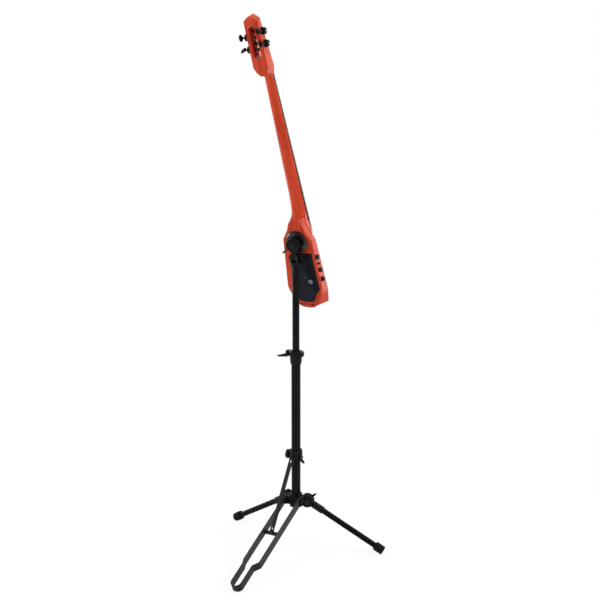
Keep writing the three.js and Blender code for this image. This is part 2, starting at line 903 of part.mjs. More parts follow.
const strutFoot = intoStand([0, -BRACE.crossbarAlong, -BRACE.crossbarDrop + BRACE.lugReach]);
const strutHead = [0, -COLLAR.pivotForward, COLLAR.pivotHeight];
const strutRun = strutHead[1] - strutFoot[1];
const strutRise = strutHead[2] - strutFoot[2];
const strutLength = Math.hypot(strutRun, strutRise);
const strutLean = Math.atan2(strutRun, strutRise);

// A hole across the stand for one of the strut's pins
function pivotHole(width) {
  return alongX(rod(BRACE.pinRadius + FIT.gap, width * 2, SIDES.rod)).translate(-width, 0, 0);
}

function crossbar() {
  const bar = block(loopInner * 2, BRACE.crossbarThickness, BRACE.crossbarHeight);
  const lugOutline = link([0, 0], [BRACE.lugReach, 0], BRACE.lugRadius, BRACE.lugRadius, SIDES.rod);
  const lug = plate(lugOutline, 0, BRACE.lugWidth);
  lug.translate(0, 0, -BRACE.lugWidth / 2).rotateY(-QUARTER_TURN);
  return cut(join(bar, lug), pivotHole(BRACE.lugWidth).translate(0, 0, BRACE.lugReach));
}

const crossbarFrame = frame(loop, crossbarPlace);
mesh("crossbar", crossbar(), COLOUR.casting, crossbarFrame);

// Strut: a pressed channel, open towards the mast, that straddles both lugs

function strut() {
  const outline = link([0, 0], [strutLength, 0], BRACE.strutEye, BRACE.strutEye, SIDES.rod);
  const whole = plate(outline, 0, BRACE.strutWidth).translate(0, 0, -BRACE.strutWidth / 2);
  const inner = BRACE.strutWidth - BRACE.strutWall * 2;
  const channel = block(strutLength + BRACE.headMouth * 2, BRACE.strutEye * 2, inner);
  channel.translate(strutLength / 2, -BRACE.strutWall, 0);
  const mouths = [[0, BRACE.footMouth], [strutLength, BRACE.headMouth]].map(([along, mouth]) => {
    return block(mouth * 2, BRACE.strutEye * 2 + FIT.overrun, inner).translate(along, 0, 0);
  });
  const span = BRACE.strutWidth + BRACE.rivetHeight * 2;
  const head = BRACE.rivetHeight + BRACE.strutWall / 2;
  const heads = [0, strutLength].flatMap((along) => [-span / 2, span / 2 - head].map((rise) => {
    return rod(BRACE.rivetRadius, head, SIDES.rod, BRACE.rivetHeight / 2).translate(along, 0, rise);
  }));
  const pin = rod(BRACE.pinRadius, BRACE.strutWidth, SIDES.rod).translate(0, 0, -BRACE.strutWidth / 2);
  return join(cut(whole, channel, ...mouths), pin, ...heads);
}

const strutFrame = frame(stand, strutFoot);
strutFrame.rotation.x = -strutLean;
const strutUpright = strut().rotateZ(QUARTER_TURN).rotateX(QUARTER_TURN).rotateZ(QUARTER_TURN);
mesh("strut", strutUpright, COLOUR.enamel, strutFrame);

// Collar that slides on the lower tube

const collarRadius = MAST.lowerRadius + COLLAR.wall;
const collarKnobHeight = (COLLAR.top + COLLAR.bottom) / 2 - COLLAR.knobDrop;

function collar() {
  const ring = rod(collarRadius, COLLAR.top - COLLAR.bottom, SIDES.tube, FIT.chamfer);
  ring.translate(0, 0, COLLAR.bottom);
  const lug = plate(
    link([0, 0], [COLLAR.pivotForward, 0], COLLAR.lugRadius, COLLAR.lugRadius, SIDES.rod),
    -COLLAR.lugWidth / 2,
    COLLAR.lugWidth / 2,
  );
  lug.rotateZ(-QUARTER_TURN).rotateY(QUARTER_TURN).translate(0, 0, COLLAR.pivotHeight);
  const middle = (COLLAR.top + COLLAR.bottom) / 2;
  const { blockReach, blockBack, blockFront, blockCorner } = COLLAR;
  const blockOutline = [
    [0, -blockBack],
    [blockReach - blockCorner / 2, -blockBack],
    [blockReach, blockCorner / 2 - blockBack],
    [blockReach, 0],
    [blockReach - blockCorner, blockFront],
    [0, blockFront],
  ];
  const blockStart = COLLAR.bottom + FIT.overrun / 2;
  const rightBlock = plate(blockOutline, blockStart, COLLAR.top - FIT.overrun / 2);
  const leftBlock = alongX(rod(COLLAR.stubRadius, COLLAR.stubReach, SIDES.rod));
  leftBlock.translate(-COLLAR.stubReach, 0, collarKnobHeight);
  const split = block(COLLAR.blockReach, FIT.chamfer, COLLAR.top);
  split.translate(COLLAR.blockReach / 2 + lowerInner, 0, middle);
  const bore = rod(MAST.lowerRadius + FIT.gap, COLLAR.top, SIDES.tube);
  bore.translate(0, 0, COLLAR.bottom - FIT.overrun);
  const thread = alongX(rod(COLLAR.stemRadius + FIT.gap, COLLAR.blockReach + FIT.overrun, SIDES.small));
  thread.translate(-COLLAR.blockReach - FIT.overrun, 0, collarKnobHeight);
  const crossLength = COLLAR.blockBack + COLLAR.blockFront + FIT.overrun * 2;
  const cross = alongY(rod(COLLAR.pinRadius + FIT.gap, crossLength, SIDES.small));
  const crossStart = -COLLAR.blockBack - FIT.overrun;
  cross.translate(COLLAR.leverAcross, crossStart, COLLAR.bottom + COLLAR.leverDrop);
  const pivot = pivotHole(COLLAR.lugWidth).translate(0, -COLLAR.pivotForward, COLLAR.pivotHeight);
  return cut(join(ring, lug, rightBlock, leftBlock), bore, thread, split, cross, pivot);
}

mesh("collar", collar(), COLOUR.casting, stand);

// The screw points along Z of its own frame, away from the mast
function thumbKnob(radius, thickness, stemRadius, stemLength, gap) {
  const lobes = Array.from({ length: SIDES.small * 2 }, (_, i) => {
    const angle = (FULL_TURN * i) / (SIDES.small * 2);
    const reach = i % 2 === 0 ? radius : radius - FIT.chamfer;
    return [reach * Math.cos(angle), reach * Math.sin(angle)];
  });
  const head = plate(lobes, 0, thickness);
  const stem = rod(stemRadius, stemLength + gap + FIT.overrun, SIDES.small);
  return join(head, stem.translate(0, 0, -stemLength - gap));
}

const collarKnobFrame = frame(stand, [-COLLAR.stubReach - COLLAR.knobGap, 0, collarKnobHeight]);
collarKnobFrame.rotation.y = -QUARTER_TURN;
const collarStem = COLLAR.stubReach - MAST.lowerRadius - FIT.gap * 2;
mesh(
  "collar_knob",
  thumbKnob(COLLAR.knobRadius, COLLAR.knobThickness, COLLAR.stemRadius, collarStem, COLLAR.knobGap),
  COLOUR.plastic,
  collarKnobFrame,
);

// Cam lever on the collar's right block, turning about a cross pin
function collarLever() {
  const half = COLLAR.leverWidth / 2;
  const elbow = [COLLAR.leverReach, -COLLAR.leverFall];
  const tip = [COLLAR.hookReach, -COLLAR.hookFall];
  const arm = plate(link([0, 0], elbow, half, half, SIDES.small), 0, COLLAR.leverThickness);
  const hookOutline = link(elbow, tip, half, COLLAR.tipRadius, SIDES.small);
  const hook = plate(hookOutline, 0, COLLAR.leverThickness);
  const pinLength = COLLAR.blockBack + COLLAR.blockFront;
  const pin = rod(COLLAR.pinRadius, pinLength, SIDES.small);
  return join(arm, hook, pin.translate(0, 0, -pinLength));
}

const collarLeverFrame = frame(stand, [
  COLLAR.leverAcross,
  -COLLAR.blockBack - FIT.gap,
  COLLAR.bottom + COLLAR.leverDrop,
]);
collarLeverFrame.rotation.x = QUARTER_TURN;
mesh("collar_lever", collarLever(), COLOUR.casting, collarLeverFrame);

// Height clamp at the top of the lower tube

function bushing() {
  const lower = MAST.lowerRadius + FIT.gap;
  const upper = MAST.upperRadius + FIT.gap;
  const shelf = MAST.lowerTop + FIT.gap;
  const profile = [
    [lower, CLAMP.bushingBottom],
    [CLAMP.bushingFoot, CLAMP.bushingBottom],
    [CLAMP.bushingRadius, CLAMP.bushingBottom + (CLAMP.bottom - CLAMP.bushingBottom) / 2],
    [CLAMP.bushingRadius, CLAMP.bottom - FIT.gap],
    [CLAMP.bushingNeck, CLAMP.bottom - FIT.gap],
    [CLAMP.bushingNeck, CLAMP.bushingTop],
    [upper, CLAMP.bushingTop],
    [upper, shelf],
    [lower, shelf],
    [lower, CLAMP.bushingBottom],
  ];
  return turned(profile, SIDES.tube);
}

mesh("tube_bushing", bushing(), COLOUR.plastic, stand);

const clampMiddle = (CLAMP.bottom + CLAMP.top) / 2;
const clampHeight = CLAMP.top - CLAMP.bottom;
const clampBoltAcross = -CLAMP.earReach + CLAMP.leverHub;

function heightClamp() {
  const ring = rod(CLAMP.radius, clampHeight, SIDES.tube, FIT.chamfer).translate(0, 0, CLAMP.bottom);
  const ears = block(CLAMP.earReach, CLAMP.earWidth, clampHeight - FIT.chamfer);
  ears.translate(-CLAMP.earReach / 2, 0, clampMiddle);
  const right = block(CLAMP.blockReach, CLAMP.blockWidth, clampHeight - FIT.chamfer);
  right.translate(CLAMP.blockReach / 2, 0, clampMiddle);
  const bore = rod(CLAMP.bushingNeck + FIT.gap, clampHeight + FIT.overrun * 2, SIDES.tube);
  bore.translate(0, 0, CLAMP.bottom - FIT.overrun);
  const split = block(CLAMP.earReach, FIT.chamfer * 2, clampHeight + FIT.overrun);
  split.translate(-CLAMP.earReach / 2 - CLAMP.bushingNeck / 2, 0, clampMiddle);
  const hole = alongY(rod(CLAMP.boltRadius + FIT.gap, CLAMP.earWidth + FIT.overrun, SIDES.small));
  hole.translate(clampBoltAcross, -(CLAMP.earWidth + FIT.overrun) / 2, clampMiddle - CLAMP.leverDrop);
  const thread = alongX(rod(CLAMP.screwRadius + FIT.gap, CLAMP.blockReach, SIDES.small));
  thread.translate(MAST.upperRadius, 0, clampMiddle);
  return cut(join(ring, ears, right), bore, split, hole, thread);
}

mesh("height_clamp", heightClamp(), COLOUR.casting, stand);

// Lever on the clamp's bolt: Z of its frame points at the player, the arm points away from the mast
function clampLever() {
  const outline = link([0, 0], [-CLAMP.leverReach, 0], CLAMP.leverHub, CLAMP.leverTip, SIDES.rod);
  const arm = plate(outline, 0, CLAMP.leverThickness);
  const bolt = rod(CLAMP.boltRadius, CLAMP.earWidth + FIT.overrun, SIDES.small);
  return join(arm, bolt.translate(0, 0, -CLAMP.earWidth - FIT.gap));
}

const clampLeverFrame = frame(stand, [
  clampBoltAcross,
  -CLAMP.earWidth / 2 - FIT.gap,
  clampMiddle - CLAMP.leverDrop,
]);
clampLeverFrame.rotation.x = QUARTER_TURN;
mesh("clamp_lever", clampLever().rotateZ(radians(CLAMP.leverDipDegrees)), COLOUR.casting, clampLeverFrame);

const clampScrewFrame = frame(stand, [CLAMP.blockReach + FIT.gap, 0, clampMiddle]);
clampScrewFrame.rotation.y = QUARTER_TURN;
const clampStem = CLAMP.blockReach - CLAMP.bushingNeck - FIT.gap * 2;
mesh(
  "clamp_screw",
  thumbKnob(CLAMP.headRadius, CLAMP.headLength, CLAMP.screwRadius, clampStem, FIT.gap),
  COLOUR.blackened,
  clampScrewFrame,
);

// Tilt head on the top of the mast

const tonguePlay = TILT.tongueWidth / 2 + FIT.gap;
const forkHalf = tonguePlay + TILT.cheekThickness;

function tiltFork() {
  const base = rod(TILT.baseRadius, tiltBaseTop - tiltBaseBottom, SIDES.tube, FIT.chamfer);
  base.translate(0, 0, tiltBaseBottom);
  const root = [tiltBaseBottom + FIT.chamfer * 2, 0];
  const outline = link(root, [TILT.pivotHeight, 0], TILT.cheekRadius, TILT.cheekRadius, SIDES.disc);
  const clipped = outline.map(([x, y]) => [Math.max(x, tiltBaseBottom + FIT.chamfer), y]);
  const cheeks = plate(clipped, -forkHalf, forkHalf).rotateY(-QUARTER_TURN);
  const slot = block(tonguePlay * 2, TILT.baseRadius * 2, TILT.pivotHeight);
  slot.translate(0, 0, tiltBaseTop + TILT.pivotHeight / 2);
  const boreLength = upperTop - tiltBaseBottom + FIT.gap + FIT.overrun;
  const bore = rod(MAST.upperRadius + FIT.gap, boreLength, SIDES.tube);
  bore.translate(0, 0, tiltBaseBottom - FIT.overrun);
  const holeEnd = forkHalf + FIT.overrun;
  const hole = alongX(rod(TILT.boltRadius + FIT.gap, holeEnd * 2, SIDES.rod));
  return cut(join(base, cheeks), slot, bore, hole.translate(-holeEnd, 0, TILT.pivotHeight));
}

mesh("tilt_fork", tiltFork(), COLOUR.casting, stand);

// The tilt bolt has a round head on the left, and a wing nut locks it on the right
const nutStart = forkHalf + FIT.gap;
const boltEnd = nutStart + TILT.wingHubLength;

function tiltBolt() {
  const sunk = nutStart + FIT.overrun / 2;
  const shank = rod(TILT.boltRadius, boltEnd + sunk, SIDES.rod).translate(0, 0, -sunk);
  const head = thumbKnob(TILT.knobRadius, TILT.knobThickness, TILT.boltRadius, 0, 0);
  return join(shank, head.translate(0, 0, -nutStart - TILT.knobThickness));
}

const tiltBoltFrame = frame(stand, [0, 0, TILT.pivotHeight]);
tiltBoltFrame.rotation.y = QUARTER_TURN;
mesh("tilt_bolt", tiltBolt(), COLOUR.plastic, tiltBoltFrame);

function wingNut() {
  const hub = rod(TILT.wingHub, TILT.wingHubLength, SIDES.rod, FIT.chamfer);
  const wings = [1, -1].map((side) => {
    const rise = TILT.wingHubLength / 2;
    const half = TILT.wingHub / 2;
    const tip = [side * TILT.wingReach, rise + TILT.wingRise];
    const outline = link([side * half, rise], tip, half, half, SIDES.small);
    return plate(outline, -TILT.wingThickness / 2, TILT.wingThickness / 2).rotateX(QUARTER_TURN);
  });
  const bore = rod(TILT.boltRadius + FIT.gap, TILT.wingHubLength + FIT.overrun * 2, SIDES.rod);
  return cut(join(hub, ...wings), bore.translate(0, 0, -FIT.overrun));
}

const wingFrame = frame(stand, [nutStart, 0, TILT.pivotHeight]);
wingFrame.rotation.y = QUARTER_TURN;
const wing = mesh("tilt_wing_nut", wingNut(), COLOUR.casting, wingFrame);
wing.rotation.z = radians(LOOP.slopeDegrees);

// The instrument. Its frame has X across, Y up along the back of the body, and Z out of the back.

const lean = radians(CELLO.leanDegrees);
const mountAlong = CELLO.mountShare * BODY.length;
const cello = frame(object, [
  0,
  CELLO.mountForward + mountAlong * Math.sin(lean),
  mountTop - mountAlong * Math.cos(lean),
]);
cello.rotation.x = QUARTER_TURN + lean;

// The tilt pivot, seen from the middle of the mount
const pivotRise = TILT.pivotHeight - mountTop;
const pivotUp = CELLO.mountForward * Math.sin(lean) + pivotRise * Math.cos(lean);
const pivotOut = CELLO.mountForward * Math.cos(lean) - pivotRise * Math.sin(lean);

const mount = frame(cello, [0, mountAlong, 0]);

function mountDisc() {
  const radius = MOUNT.discRadius;
  const profile = [
    [0, FIT.gap],
    [radius, FIT.gap],
    [radius, MOUNT.rimThickness],
    [radius - MOUNT.bevel, MOUNT.discThickness],
    [0, MOUNT.discThickness],
  ];
  return turned(profile, SIDES.tube);
}

mesh("mount_disc", mountDisc(), COLOUR.casting, mount);

const drumStart = MOUNT.discThickness + FIT.gap;
const drumEnd = drumStart + MOUNT.drumLength;

function tiltArm() {
  const flangeStart = drumEnd - MOUNT.flangeThickness;
  const profile = [
    [0, drumStart],
    [MOUNT.drumRadius, drumStart],
    [MOUNT.drumRadius, flangeStart],
    [MOUNT.flangeRadius, flangeStart],
    [MOUNT.flangeRadius, drumEnd - FIT.chamfer],
    [MOUNT.flangeRadius - FIT.chamfer, drumEnd],
    [0, drumEnd],
  ];
  const drum = turned(profile, SIDES.tube);
  const seat = drumEnd - MOUNT.flangeThickness;
  const root = [-MOUNT.drumRadius, seat + FIT.overrun];
  const outline = link([pivotUp, pivotOut], root, TILT.tongueRadius, FIT.overrun, SIDES.disc);
  const tongue = plate(outline, -TILT.tongueWidth / 2, TILT.tongueWidth / 2);
  tongue.rotateZ(QUARTER_TURN).rotateY(QUARTER_TURN);
  const hole = alongX(rod(TILT.boltRadius + FIT.gap, TILT.tongueWidth * 2, SIDES.rod));
  hole.translate(-TILT.tongueWidth, pivotUp, pivotOut);
  return cut(join(drum, tongue), hole);
}

mesh("tilt_arm", tiltArm(), COLOUR.casting, mount);

// Ring round the drum whose lever locks the turn of the instrument
function clutchRing() {
  const start = drumStart + MOUNT.ringStart;
  const ring = pipe(MOUNT.ringRadius, MOUNT.drumRadius + FIT.gap, MOUNT.ringLength, SIDES.tube);
  const root = MOUNT.drumRadius + FIT.overrun / 2;
  const arm = alongX(rod(MOUNT.leverRadius, MOUNT.leverReach - root, SIDES.small, FIT.chamfer));
  arm.translate(root, 0, start + MOUNT.ringLength / 2).rotateZ(radians(MOUNT.leverDegrees));
  return join(ring.translate(0, 0, start), arm);
}

mesh("clutch_lever", clutchRing(), COLOUR.casting, mount);

// Body: a thin faceted slab, thicker at the bottom, with the electronics cavity let into the back

const onBody = ([x, y]) => [x * BODY.halfWidth, y * BODY.length];
const backOutline = mirrored(BACK_OUTLINE_SHARES.map(onBody));
const frontOutline = mirrored(FRONT_OUTLINE_SHARES.map(onBody));
const coverOutline = COVER_OUTLINE_SHARES.map(onBody);
const frontDepth = (along) => BODY.thickness - along * BODY.taper;
const jackPlace = [...onBody(JACK_SHARES), 0];
const lightPlace = [...onBody(LIGHT_SHARES), 0];

const [, wideHeight] = onBody(BACK_OUTLINE_SHARES[4]);
const [shoulderHalf, shoulderHeight] = onBody(BACK_OUTLINE_SHARES[5]);
const sideSlope = (BODY.halfWidth - shoulderHalf) / (shoulderHeight - wideHeight);
const halfWidthAt = (along) => BODY.halfWidth - (along - wideHeight) * sideSlope;
const sideAngle = Math.atan(sideSlope);
const controlRise = (along) => CONTROL.fromFront - frontDepth(along);

function bodyGeometry() {
  const at = (outline, depth) => outline.map(([x, y]) => [x, y, -depth(y)]);
  const shell = loft([
    at(inset(backOutline, BODY.backRound), () => 0),
    at(backOutline, () => BODY.backRound),
    at(frontOutline, (y) => frontDepth(y) - BODY.frontRound),
    at(inset(frontOutline, BODY.frontRound), (y) => frontDepth(y)),
  ]);
  const rebate = plate(inset(coverOutline, -FIT.gap), -BODY.coverThickness - FIT.gap, FIT.overrun);
  const cavity = plate(inset(coverOutline, BODY.cavityLedge), -BODY.cavityDepth, FIT.overrun);
  const holes = stringPlaces(BODY.holePitch).flatMap((x) => {
    const seat = rod(BODY.holeRadius, STRING.seat + FIT.overrun + FIT.gap, SIDES.small);
    const hole = rod(STRING.hole, BODY.thickness + FIT.overrun, SIDES.small);
    seat.translate(x, BODY.holeHeight, -STRING.seat - FIT.gap);
    return [seat, hole.translate(x, BODY.holeHeight, -BODY.thickness - FIT.overrun)];
  });
  const { volume, tone, blend, toggle } = ALONG_SHARES;
  const bores = [volume, tone, blend].map((share) => sideBore(share, CONTROL.stemRadius + FIT.gap));
  const switchBore = sideBore(toggle, CONTROL.bushingRadius + FIT.gap);
  return cut(shell, rebate, cavity, ...holes, ...bores, switchBore);
}

// The four strings, evenly spaced about the middle
function stringPlaces(pitch) {
  const count = STRING.radii.length;
  return STRING.radii.map((_, i) => (i - (count - 1) / 2) * pitch);
}

// A hole from the side wall into the cavity
function sideBore(share, radius) {
  const along = share * BODY.length;
  const bore = alongX(rod(radius, CONTROL.stemLength * 2, SIDES.rod));
  bore.translate(-CONTROL.stemLength - FIT.overrun, 0, 0).rotateZ(sideAngle);
  return bore.translate(halfWidthAt(along), along, controlRise(along));
}

mesh("body", bodyGeometry(), COLOUR.lacquer, cello);

function coverGeometry() {
  const top = -FIT.gap / 2;
  const bottom = top - BODY.coverThickness + FIT.gap;
  const panel = plate(coverOutline, bottom, top);
  const start = bottom - FIT.overrun;
  const depth = FIT.overrun * 2 - bottom;
  const jackHole = rod(JACK.barrelRadius + FIT.gap, depth, SIDES.rod).translate(0, 0, start);
  const lightHole = rod(LIGHT.radius + FIT.gap, depth, SIDES.small).translate(0, 0, start);
  return cut(panel, jackHole.translate(...jackPlace), lightHole.translate(...lightPlace));
}

mesh("rear_cover", coverGeometry(), COLOUR.plastic, cello);

function jackSocket() {
  const profile = [
    [JACK.bore, FIT.gap + JACK.flangeHeight],
    [JACK.flangeRadius - FIT.chamfer, FIT.gap + JACK.flangeHeight],
    [JACK.flangeRadius, FIT.gap + JACK.flangeHeight - FIT.chamfer],
    [JACK.flangeRadius, FIT.gap],
    [JACK.barrelRadius, FIT.gap],
    [JACK.barrelRadius, -JACK.barrelLength],
    [JACK.bore, -JACK.barrelLength],
    [JACK.bore, FIT.gap + JACK.flangeHeight],
  ];
  return turned(profile, SIDES.disc);
}

mesh("jack_socket", jackSocket(), COLOUR.steel, frame(cello, jackPlace));

function statusLight() {
  const lens = rod(LIGHT.radius, LIGHT.length + LIGHT.proud, SIDES.small, FIT.chamfer / 2);
  return lens.translate(0, 0, -LIGHT.length);
}

mesh("status_light", statusLight(), COLOUR.lens, frame(cello, lightPlace));

function preampBoard() {
  const [width, length] = onBody(CIRCUIT_SHARES);
  const board = block(width, length, CIRCUIT.thickness);
  const parts = CIRCUIT_PART_SHARES.map(([x, y]) => {
    const part = block(CIRCUIT.partWidth, CIRCUIT.partLength, CIRCUIT.partHeight);
    const drop = (CIRCUIT.partHeight + CIRCUIT.thickness) / 2 - FIT.gap;
    return part.translate(x * width, y * length, -drop);
  });
  const spacerHeight = BODY.cavityDepth - CIRCUIT.depth - FIT.gap;
  const spacers = [[1, 1], [1, -1], [-1, 1], [-1, -1]].map(([x, y]) => {
    const spacer = rod(CIRCUIT.spacerRadius, spacerHeight, SIDES.small).translate(0, 0, -spacerHeight);
    return spacer.translate(x * (width / 2 - CIRCUIT.edge), y * (length / 2 - CIRCUIT.edge), 0);
  });
  return join(board, ...parts, ...spacers);
}

const circuitPlace = [0, ALONG_SHARES.circuit * BODY.length, -CIRCUIT.depth];
mesh("preamp_board", preampBoard(), COLOUR.board, frame(cello, circuitPlace));

// Controls on the side wall. Z of each frame points out of the wall.

function sideFrame(share) {
  const along = share * BODY.length;
  const place = frame(cello, [halfWidthAt(along), along, controlRise(along)]);
  place.rotation.set(0, QUARTER_TURN, 0);
  place.rotation.order = "ZYX";
  place.rotation.z = sideAngle;
  return place;
}

function controlKnob() {
  const sunk = CONTROL.stemLength - FIT.overrun / 2;
  const cap = rod(CONTROL.knobRadius, CONTROL.knobProud - CONTROL.knobGap, SIDES.disc, FIT.chamfer);
  const stem = rod(CONTROL.stemRadius, CONTROL.stemLength + FIT.overrun / 2, SIDES.small);
  return join(cap.translate(0, 0, CONTROL.knobGap), stem.translate(0, 0, -sunk));
}

["volume", "tone", "blend"].forEach((name) => {
  mesh(`${name}_knob`, controlKnob(), COLOUR.plastic, sideFrame(ALONG_SHARES[name]));
});

function switchBushing() {
  const proud = CONTROL.bushingProud;
  const inner = CONTROL.boreRadius;
  const profile = [
    [0, -CONTROL.stemLength],
    [CONTROL.bushingRadius, -CONTROL.stemLength],
    [CONTROL.bushingRadius, proud],
    [inner, proud],
    [inner, -proud],
    [0, -proud],
  ];
  return turned(profile, SIDES.rod);
}

const switchFrame = sideFrame(ALONG_SHARES.toggle);
mesh("switch_bushing", switchBushing(), COLOUR.blackened, switchFrame);

function switchLever() {
  const waist = CONTROL.leverRadius - FIT.gap * 2;
  const profile = [
    [0, -CONTROL.bushingProud + FIT.gap],
    [waist, -CONTROL.bushingProud + FIT.gap],
    [waist, CONTROL.bushingProud / 2],
    [CONTROL.leverRadius, CONTROL.bushingProud + CONTROL.leverLength - FIT.chamfer],
    [CONTROL.leverRadius - FIT.chamfer / 2, CONTROL.bushingProud + CONTROL.leverLength],
    [0, CONTROL.bushingProud + CONTROL.leverLength],
  ];
  return turned(profile, SIDES.small);
}

mesh("switch_lever", switchLever(), COLOUR.blackened, switchFrame);

// The strings set the neck: the bridge has its place on the body, and the nut lies one string
// length up the neck from it. Depths here are along Z of the neck, which points out of its back.

const boardLength = BRIDGE.stringLength - BOARD.bridgeGap;
const sag = (x, half) => Math.sqrt(BOARD.radius ** 2 - x ** 2) - Math.sqrt(BOARD.radius ** 2 - half ** 2);
const nutTop = (x) => -FIT.gap - BOARD.edge - sag(x, NECK.nutHalfWidth) - NUT.rise;
const boardTop = (x) => -FIT.gap - BOARD.edge - sag(x, BOARD.endHalfWidth);
const bridgeSlope = (boardTop(0) - BRIDGE.clearance - nutTop(0)) / boardLength;
const bridgeTopCentre = nutTop(0) + bridgeSlope * BRIDGE.stringLength;

const neckSet = radians(NECK.setDegrees);
const neckRun = BRIDGE.stringLength * Math.cos(neckSet) + bridgeTopCentre * Math.sin(neckSet);
const nutAlong = BRIDGE.alongShare * BODY.length + neckRun;
const nutLift = (nutAlong - BODY.length) * Math.tan(neckSet) - frontDepth(BODY.length) - NECK.overBody;

// Neck with its headstock. Y of this frame runs up the neck from the nut, and Z out of its back.

const neck = frame(cello, [0, nutAlong, nutLift]);
neck.rotation.x = neckSet;

function intoNeck([x, y, z]) {
  const up = y - nutAlong;
  const out = z - nutLift;
  return [
    x,
    up * Math.cos(neckSet) + out * Math.sin(neckSet),
    -up * Math.sin(neckSet) + out * Math.cos(neckSet),
  ];
}

function intoBody([x, y, z]) {
  return [
    x,
    nutAlong + y * Math.cos(neckSet) - z * Math.sin(neckSet),
    nutLift + y * Math.sin(neckSet) + z * Math.cos(neckSet),
  ];
}

const heelTop = intoNeck([0, BODY.length + FIT.gap, -BODY.backRound]);
const boardSpread = (BOARD.endHalfWidth - NECK.nutHalfWidth) / boardLength;
const boardHalfAt = (down) => NECK.nutHalfWidth + boardSpread * down;

// One D-shaped section of the neck, flat under the fingerboard and round at the back
function neckSection(along, halfWidth, depth, tilt = 0) {
  const count = SIDES.small;
  return Array.from({ length: count + 1 }, (_, i) => {
    const angle = (HALF_TURN * i) / count;
    const rise = depth * Math.sin(angle);
    return [halfWidth * Math.cos(angle), along + rise * tilt, rise];
  });
}

const heelTilt = Math.tan(neckSet);
const shaftLength = heelTop[2] * heelTilt - heelTop[1];
const neckSpread = (NECK.heelHalfWidth - NECK.nutHalfWidth) / shaftLength;
const neckHalfAt = (down) => NECK.nutHalfWidth + neckSpread * down;

// Rows of run along the shaft, share of the full slim depth and share of the heel's depth
const SHAFT_SHARES = [
  [0, 0, 0],
  [0.3, 0.4, 0],
  [0.62, 1, 0],
  [0.82, 1, 0.05],
  [0.894, 1, 0.2],
  [0.94, 1, 0.4],
  [0.975, 1, 0.66],
  [1, 1, 1],
];

function neckShaft() {
  const half = NECK.nutHalfWidth;
  const root = neckSection(HEAD.noseStart, half, HEAD.backRise - HEAD.edge);
  const collarRing = neckSection(-HEAD.noseStart / 2, half, NECK.nutDepth);
  const rings = SHAFT_SHARES.slice(1).map(([run, fill, flare]) => {
    const down = shaftLength * run;
    const slim = NECK.nutDepth + (NECK.midDepth - NECK.nutDepth) * fill;
    const depth = slim + (heelTop[2] - slim) * flare;
    return neckSection(-down, neckHalfAt(down), depth, heelTilt * flare);
  });
  return loft([root, collarRing, ...rings]);
}

// The foot fills the wedge between the front of the body and the end of the fingerboard
function neckFoot() {
  return loft(FOOT_SHARES.map(([share, low, high]) => {
    const along = share * BODY.length;
    const [half, y, z] = intoNeck([low * BODY.halfWidth, along, -frontDepth(along) - FIT.gap]);
    const top = high * BODY.halfWidth;
    return [[half, y, z], [-half, y, z], [-top, y, 0], [top, y, 0]];
  }));
}

function headOutline(front) {
  const half = front
    ? [
      [NECK.nutHalfWidth, 0],
      [HEAD.halfWidthTop, HEAD.cheekStart],
      [HEAD.halfWidthLow, HEAD.lowStart],
      [HEAD.halfWidthTop, HEAD.frontShoulder],
      [0, HEAD.length],
    ]
    : [
      [HEAD.noseHalfWidth, HEAD.noseStart],
      [HEAD.flareHalfWidth, HEAD.flareStart],
      [HEAD.halfWidthLow, HEAD.lowStart],
      [HEAD.halfWidthTop, HEAD.shoulder],
      [0, HEAD.length],
    ];
  const left = half.slice(0, -1).map(([x, y]) => [-x, y]).reverse();
  return [...half, ...left];
}

const headFront = (along) => -HEAD.frontDrop + along * HEAD.pitchShare;

function headBlock() {
  const back = headOutline(false);
  const front = headOutline(true);
  return loft([
    front.map(([x, y]) => [x, y, headFront(y) - (x === 0 ? HEAD.crown : 0)]),
    back.map(([x, y]) => [x, y, HEAD.backRise - HEAD.edge]),
    inset(back, HEAD.edge).map(([x, y]) => [x, y, HEAD.backRise]),
  ]);
}

function headSlot() {
  const low = HEAD.slotBottom + HEAD.slotHalfLow;
  const high = HEAD.slotTop - HEAD.slotHalfTop;
  const outline = link([0, low], [0, high], HEAD.slotHalfLow, HEAD.slotHalfTop, SIDES.rod);
  return plate(outline, -HEAD.backRise, HEAD.backRise * 2);
}

// The slot's lower end is ramped at the front, so that the strings clear the wood
function headRamp() {
  const outline = [
    [HEAD.rampStart, HEAD.rampRise],
    [HEAD.rampEnd, HEAD.rampDepth],
    [HEAD.rampEnd, -HEAD.rampDepth],
    [HEAD.rampStart, -HEAD.rampDepth],
  ];
  const half = HEAD.slotHalfLow - FIT.gap;
  return plate(outline, -half, half).rotateZ(QUARTER_TURN).rotateY(QUARTER_TURN);
}

// Each tuning post crosses the slot. Z of its frame points out of the wall that carries the machine.
const tuners = TUNER.heights.map((height, i) => {
  return { height, side: TUNER.sides[i], name: `tuner_${i + 1}`, turn: KEY_TURN_DEGREES[i] };
});
const headHalfAt = (along) => {
  const share = (along - HEAD.lowStart) / (HEAD.shoulder - HEAD.lowStart);
  return HEAD.halfWidthLow + (HEAD.halfWidthTop - HEAD.halfWidthLow) * share;
};
const slotHalfAt = (along) => {
  const share = (along - HEAD.slotBottom) / (HEAD.slotTop - HEAD.slotBottom);
  return HEAD.slotHalfLow + (HEAD.slotHalfTop - HEAD.slotHalfLow) * share;
};

function postBore({ height, side }) {
  const far = slotHalfAt(height) + TUNER.postSeat + FIT.gap;
  const near = HEAD.halfWidthLow + FIT.overrun;
  const bore = alongX(rod(TUNER.postRadius + FIT.gap, far + near, SIDES.rod)).translate(-far, 0, 0);
  if (side < 0) {
    bore.rotateZ(HALF_TURN);
  }
  return bore.translate(0, height, TUNER.axisRise);
}

function neckGeometry() {
  return cut(join(neckShaft(), headBlock(), neckFoot()), headSlot(), headRamp(), ...tuners.map(postBore));
}

